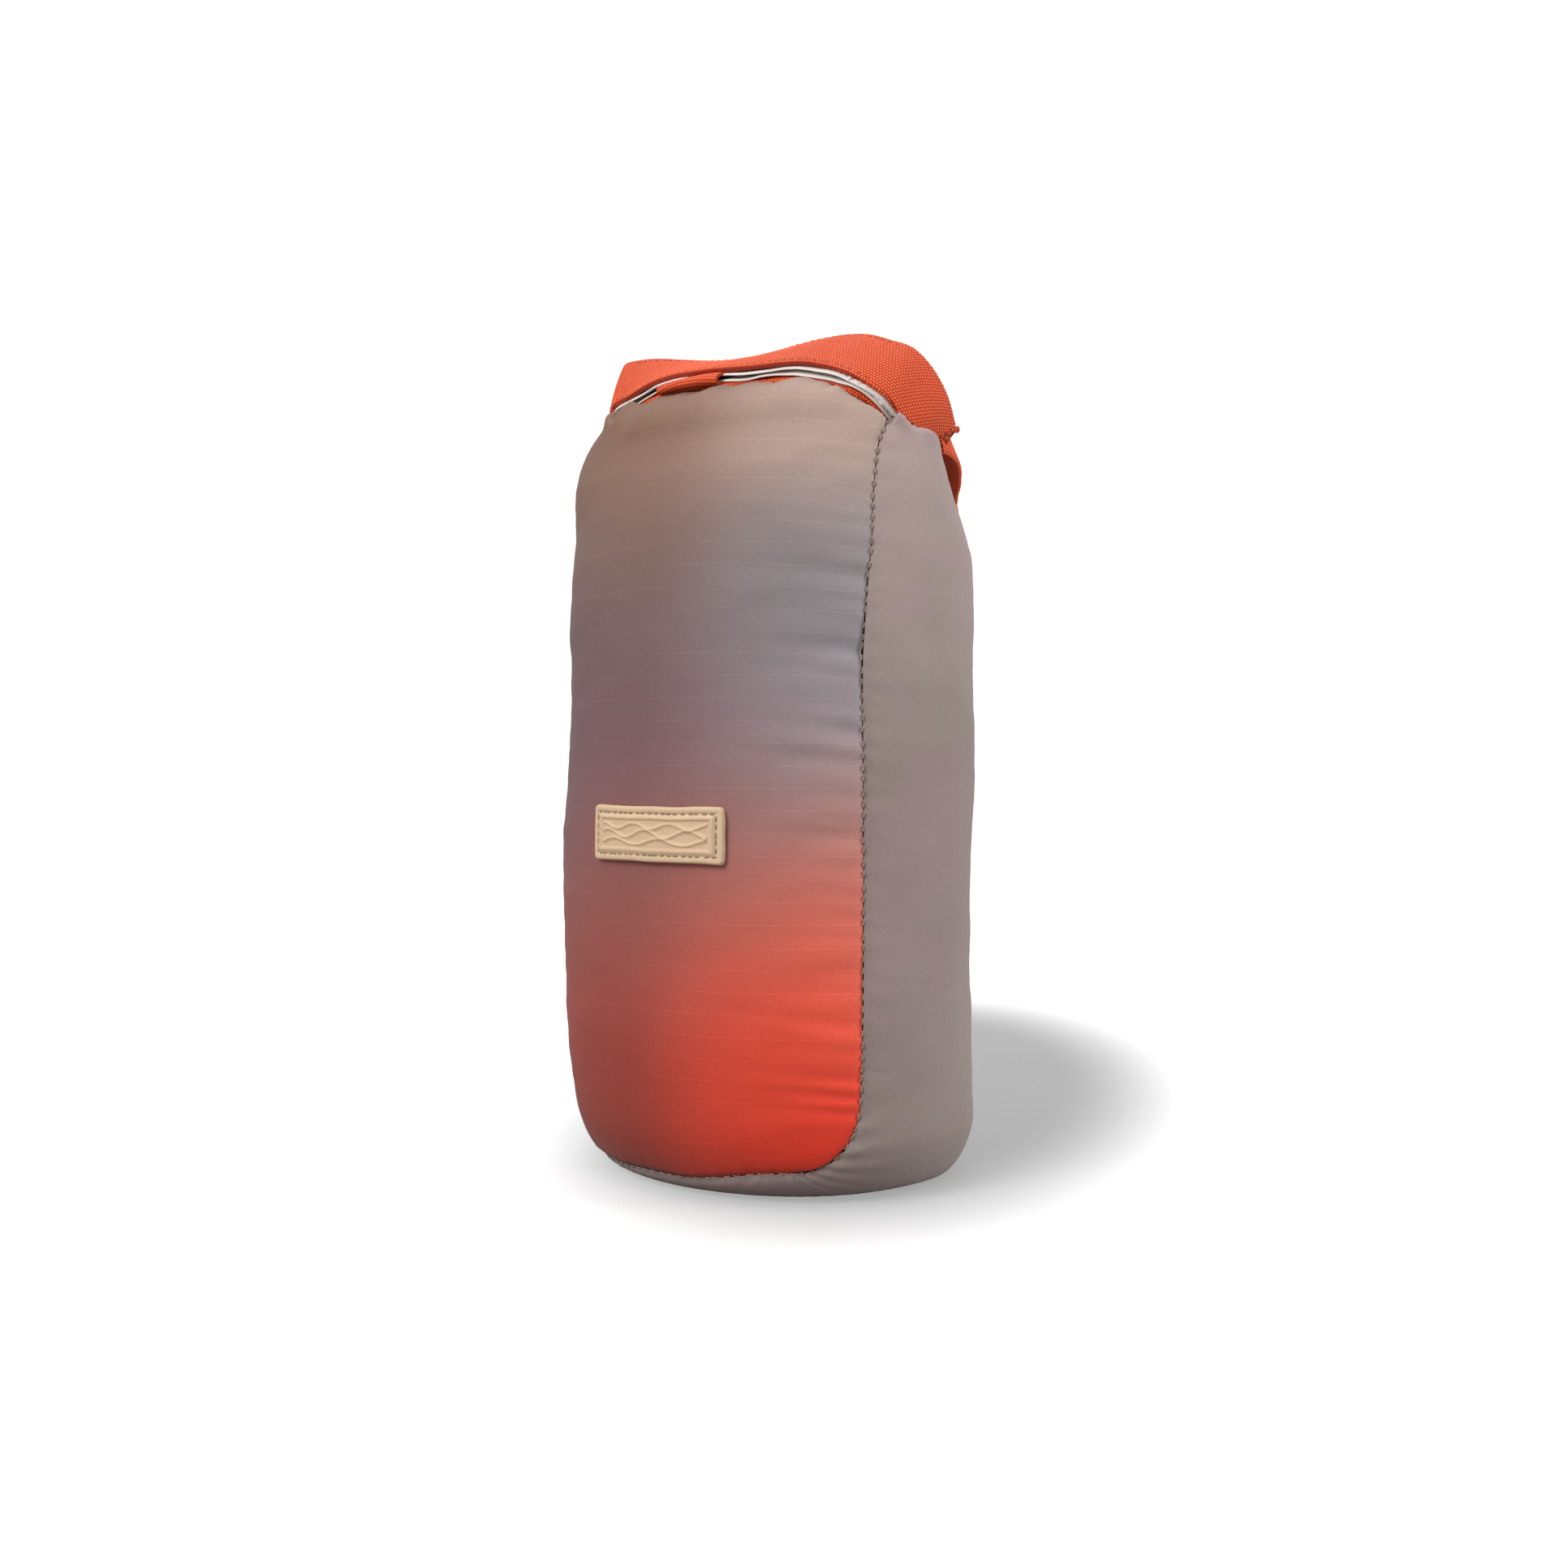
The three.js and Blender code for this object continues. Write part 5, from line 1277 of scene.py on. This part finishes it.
ft.links.new(sx_.outputs["Object"], sy_.inputs[0])


def fmath(op, a, b=0.0):
    n_ = ft.nodes.new("ShaderNodeMath"); n_.operation = op
    for i_, v in enumerate((a, b)):
        if isinstance(v, bpy.types.NodeSocket): ft.links.new(v, n_.inputs[i_])
        else: n_.inputs[i_].default_value = v
    return n_.outputs[0]


# the wide soft shadow that falls to the right and behind
fx, fy = sy_.outputs[0], sy_.outputs[1]
lat = fmath("ADD", fmath("MULTIPLY", fx, 0.799), fmath("MULTIPLY", fy, 0.602))
dep = fmath("ADD", fmath("MULTIPLY", fx, -0.602), fmath("MULTIPLY", fy, 0.799))
dq = fmath("SUBTRACT", dep, 0.150)
la = fmath("MULTIPLY", fmath("SUBTRACT", fmath("SUBTRACT", lat, 0.050), fmath("MULTIPLY", dq, 0.15)), 1 / 0.122)
da = fmath("MULTIPLY", dq, 1 / 0.260)
rr = fmath("SQRT", fmath("ADD", fmath("MULTIPLY", la, la), fmath("MULTIPLY", da, da)))
sh = ft.nodes.new("ShaderNodeMapRange"); sh.interpolation_type = "SMOOTHSTEP"
ft.links.new(rr, sh.inputs["Value"])
for k_, v in (("From Min", 0.6), ("From Max", 1.32), ("To Min", 0.46), ("To Max", 1.3)): sh.inputs[k_].default_value = v
cc = ft.nodes.new("ShaderNodeCombineColor")
for i_ in range(3): ft.links.new(sh.outputs[0], cc.inputs[i_])
ft.links.new(cc.outputs[0], dif_cam.inputs["Color"])
glow, m0 = ft.nodes.new("ShaderNodeEmission"), ft.nodes.new("ShaderNodeMixShader")
ft.links.new(cc.outputs[0], glow.inputs["Color"]); m0.inputs[0].default_value = 0.66
ft.links.new(dif_cam.outputs[0], m0.inputs[1]); ft.links.new(glow.outputs[0], m0.inputs[2]); dif_all.inputs["Color"].default_value = (0.32, 0.32, 0.32, 1)
emi.inputs["Strength"].default_value = 1.05
tc, ln2, fr_, lp2 = ft.nodes.new("ShaderNodeTexCoord"), ft.nodes.new("ShaderNodeVectorMath"), ft.nodes.new("ShaderNodeMapRange"), ft.nodes.new("ShaderNodeLightPath")
ln2.operation = "LENGTH"; ft.links.new(tc.outputs["Object"], ln2.inputs[0]); ft.links.new(ln2.outputs["Value"], fr_.inputs["Value"])
fr_.interpolation_type = "SMOOTHSTEP"; fr_.inputs["From Min"].default_value, fr_.inputs["From Max"].default_value = 0.45, 1.3
m1, m2 = ft.nodes.new("ShaderNodeMixShader"), ft.nodes.new("ShaderNodeMixShader")
ft.links.new(fr_.outputs[0], m1.inputs[0]); ft.links.new(m0.outputs[0], m1.inputs[1]); ft.links.new(emi.outputs[0], m1.inputs[2])
ft.links.new(lp2.outputs["Is Camera Ray"], m2.inputs[0]); ft.links.new(dif_all.outputs[0], m2.inputs[1]); ft.links.new(m1.outputs[0], m2.inputs[2])
ft.links.new(m2.outputs[0], fo.inputs["Surface"])
me.materials.append(fm)

world = bpy.data.worlds.new("studio"); bpy.context.scene.world = world
world.use_nodes = True
nt = world.node_tree
bg = nt.nodes["Background"]
bg.inputs["Color"].default_value = (1, 1, 1, 1)
lp, mr = nt.nodes.new("ShaderNodeLightPath"), nt.nodes.new("ShaderNodeMix")
gc, sx, gr = nt.nodes.new("ShaderNodeNewGeometry"), nt.nodes.new("ShaderNodeSeparateXYZ"), nt.nodes.new("ShaderNodeMapRange")
nt.links.new(gc.outputs["Incoming"], sx.inputs[0])
inv = nt.nodes.new("ShaderNodeMath"); inv.operation = "MULTIPLY"; inv.inputs[1].default_value = -1.0
nt.links.new(sx.outputs[2], inv.inputs[0]); nt.links.new(inv.outputs[0], gr.inputs["Value"])
gr.interpolation_type = "SMOOTHSTEP"
gr.inputs["From Min"].default_value, gr.inputs["From Max"].default_value = -0.15, 0.95
gr.inputs["To Min"].default_value, gr.inputs["To Max"].default_value = 0.16, 0.85
mr.data_type = "FLOAT"
nt.links.new(lp.outputs["Is Camera Ray"], mr.inputs[0]); nt.links.new(gr.outputs[0], mr.inputs[2]); mr.inputs[3].default_value = 1.05
nt.links.new(mr.outputs[0], bg.inputs["Strength"])


def area(name, loc, target, size, power, color=(1, 1, 1)):
    l = bpy.data.lights.new(name, "AREA"); l.shape = "RECTANGLE"; l.size, l.size_y = size; l.energy = power; l.color = color
    o = bpy.data.objects.new(name, l); bpy.context.scene.collection.objects.link(o)
    o.location = loc
    o.rotation_euler = (Vector(target) - Vector(loc)).to_track_quat("-Z", "Y").to_euler()
    return o


area("key", (-0.10, -1.32, 0.97), (0, 0, 0.14), (0.6, 0.6), 15)
area("top", (-0.1, 0.0, 1.3), (0, 0, 0.2), (0.8, 0.8), 5)
area("rim_right", (1.0, 0.50, 0.42), (0, 0, 0.15), (0.35, 0.9), 8)

cam = bpy.data.cameras.new("camera")
co_ = bpy.data.objects.new("camera", cam); bpy.context.scene.collection.objects.link(co_)
cam.sensor_width, cam.lens = 36.0, 36.0 * 2160 / 1932
cam.shift_x, cam.shift_y = 19 / 1932, -36 / 1932
cam.clip_start = 0.02
co_.location = (0.6 * math.sin(math.radians(37)), -0.6 * math.cos(math.radians(37)), 0.140)
co_.rotation_euler = (math.radians(90), 0, math.radians(37))
bpy.context.scene.camera = co_
bpy.context.scene.view_settings.view_transform = "Standard"
bpy.context.scene.view_settings.look = "None"

bpy.context.view_layer.update()
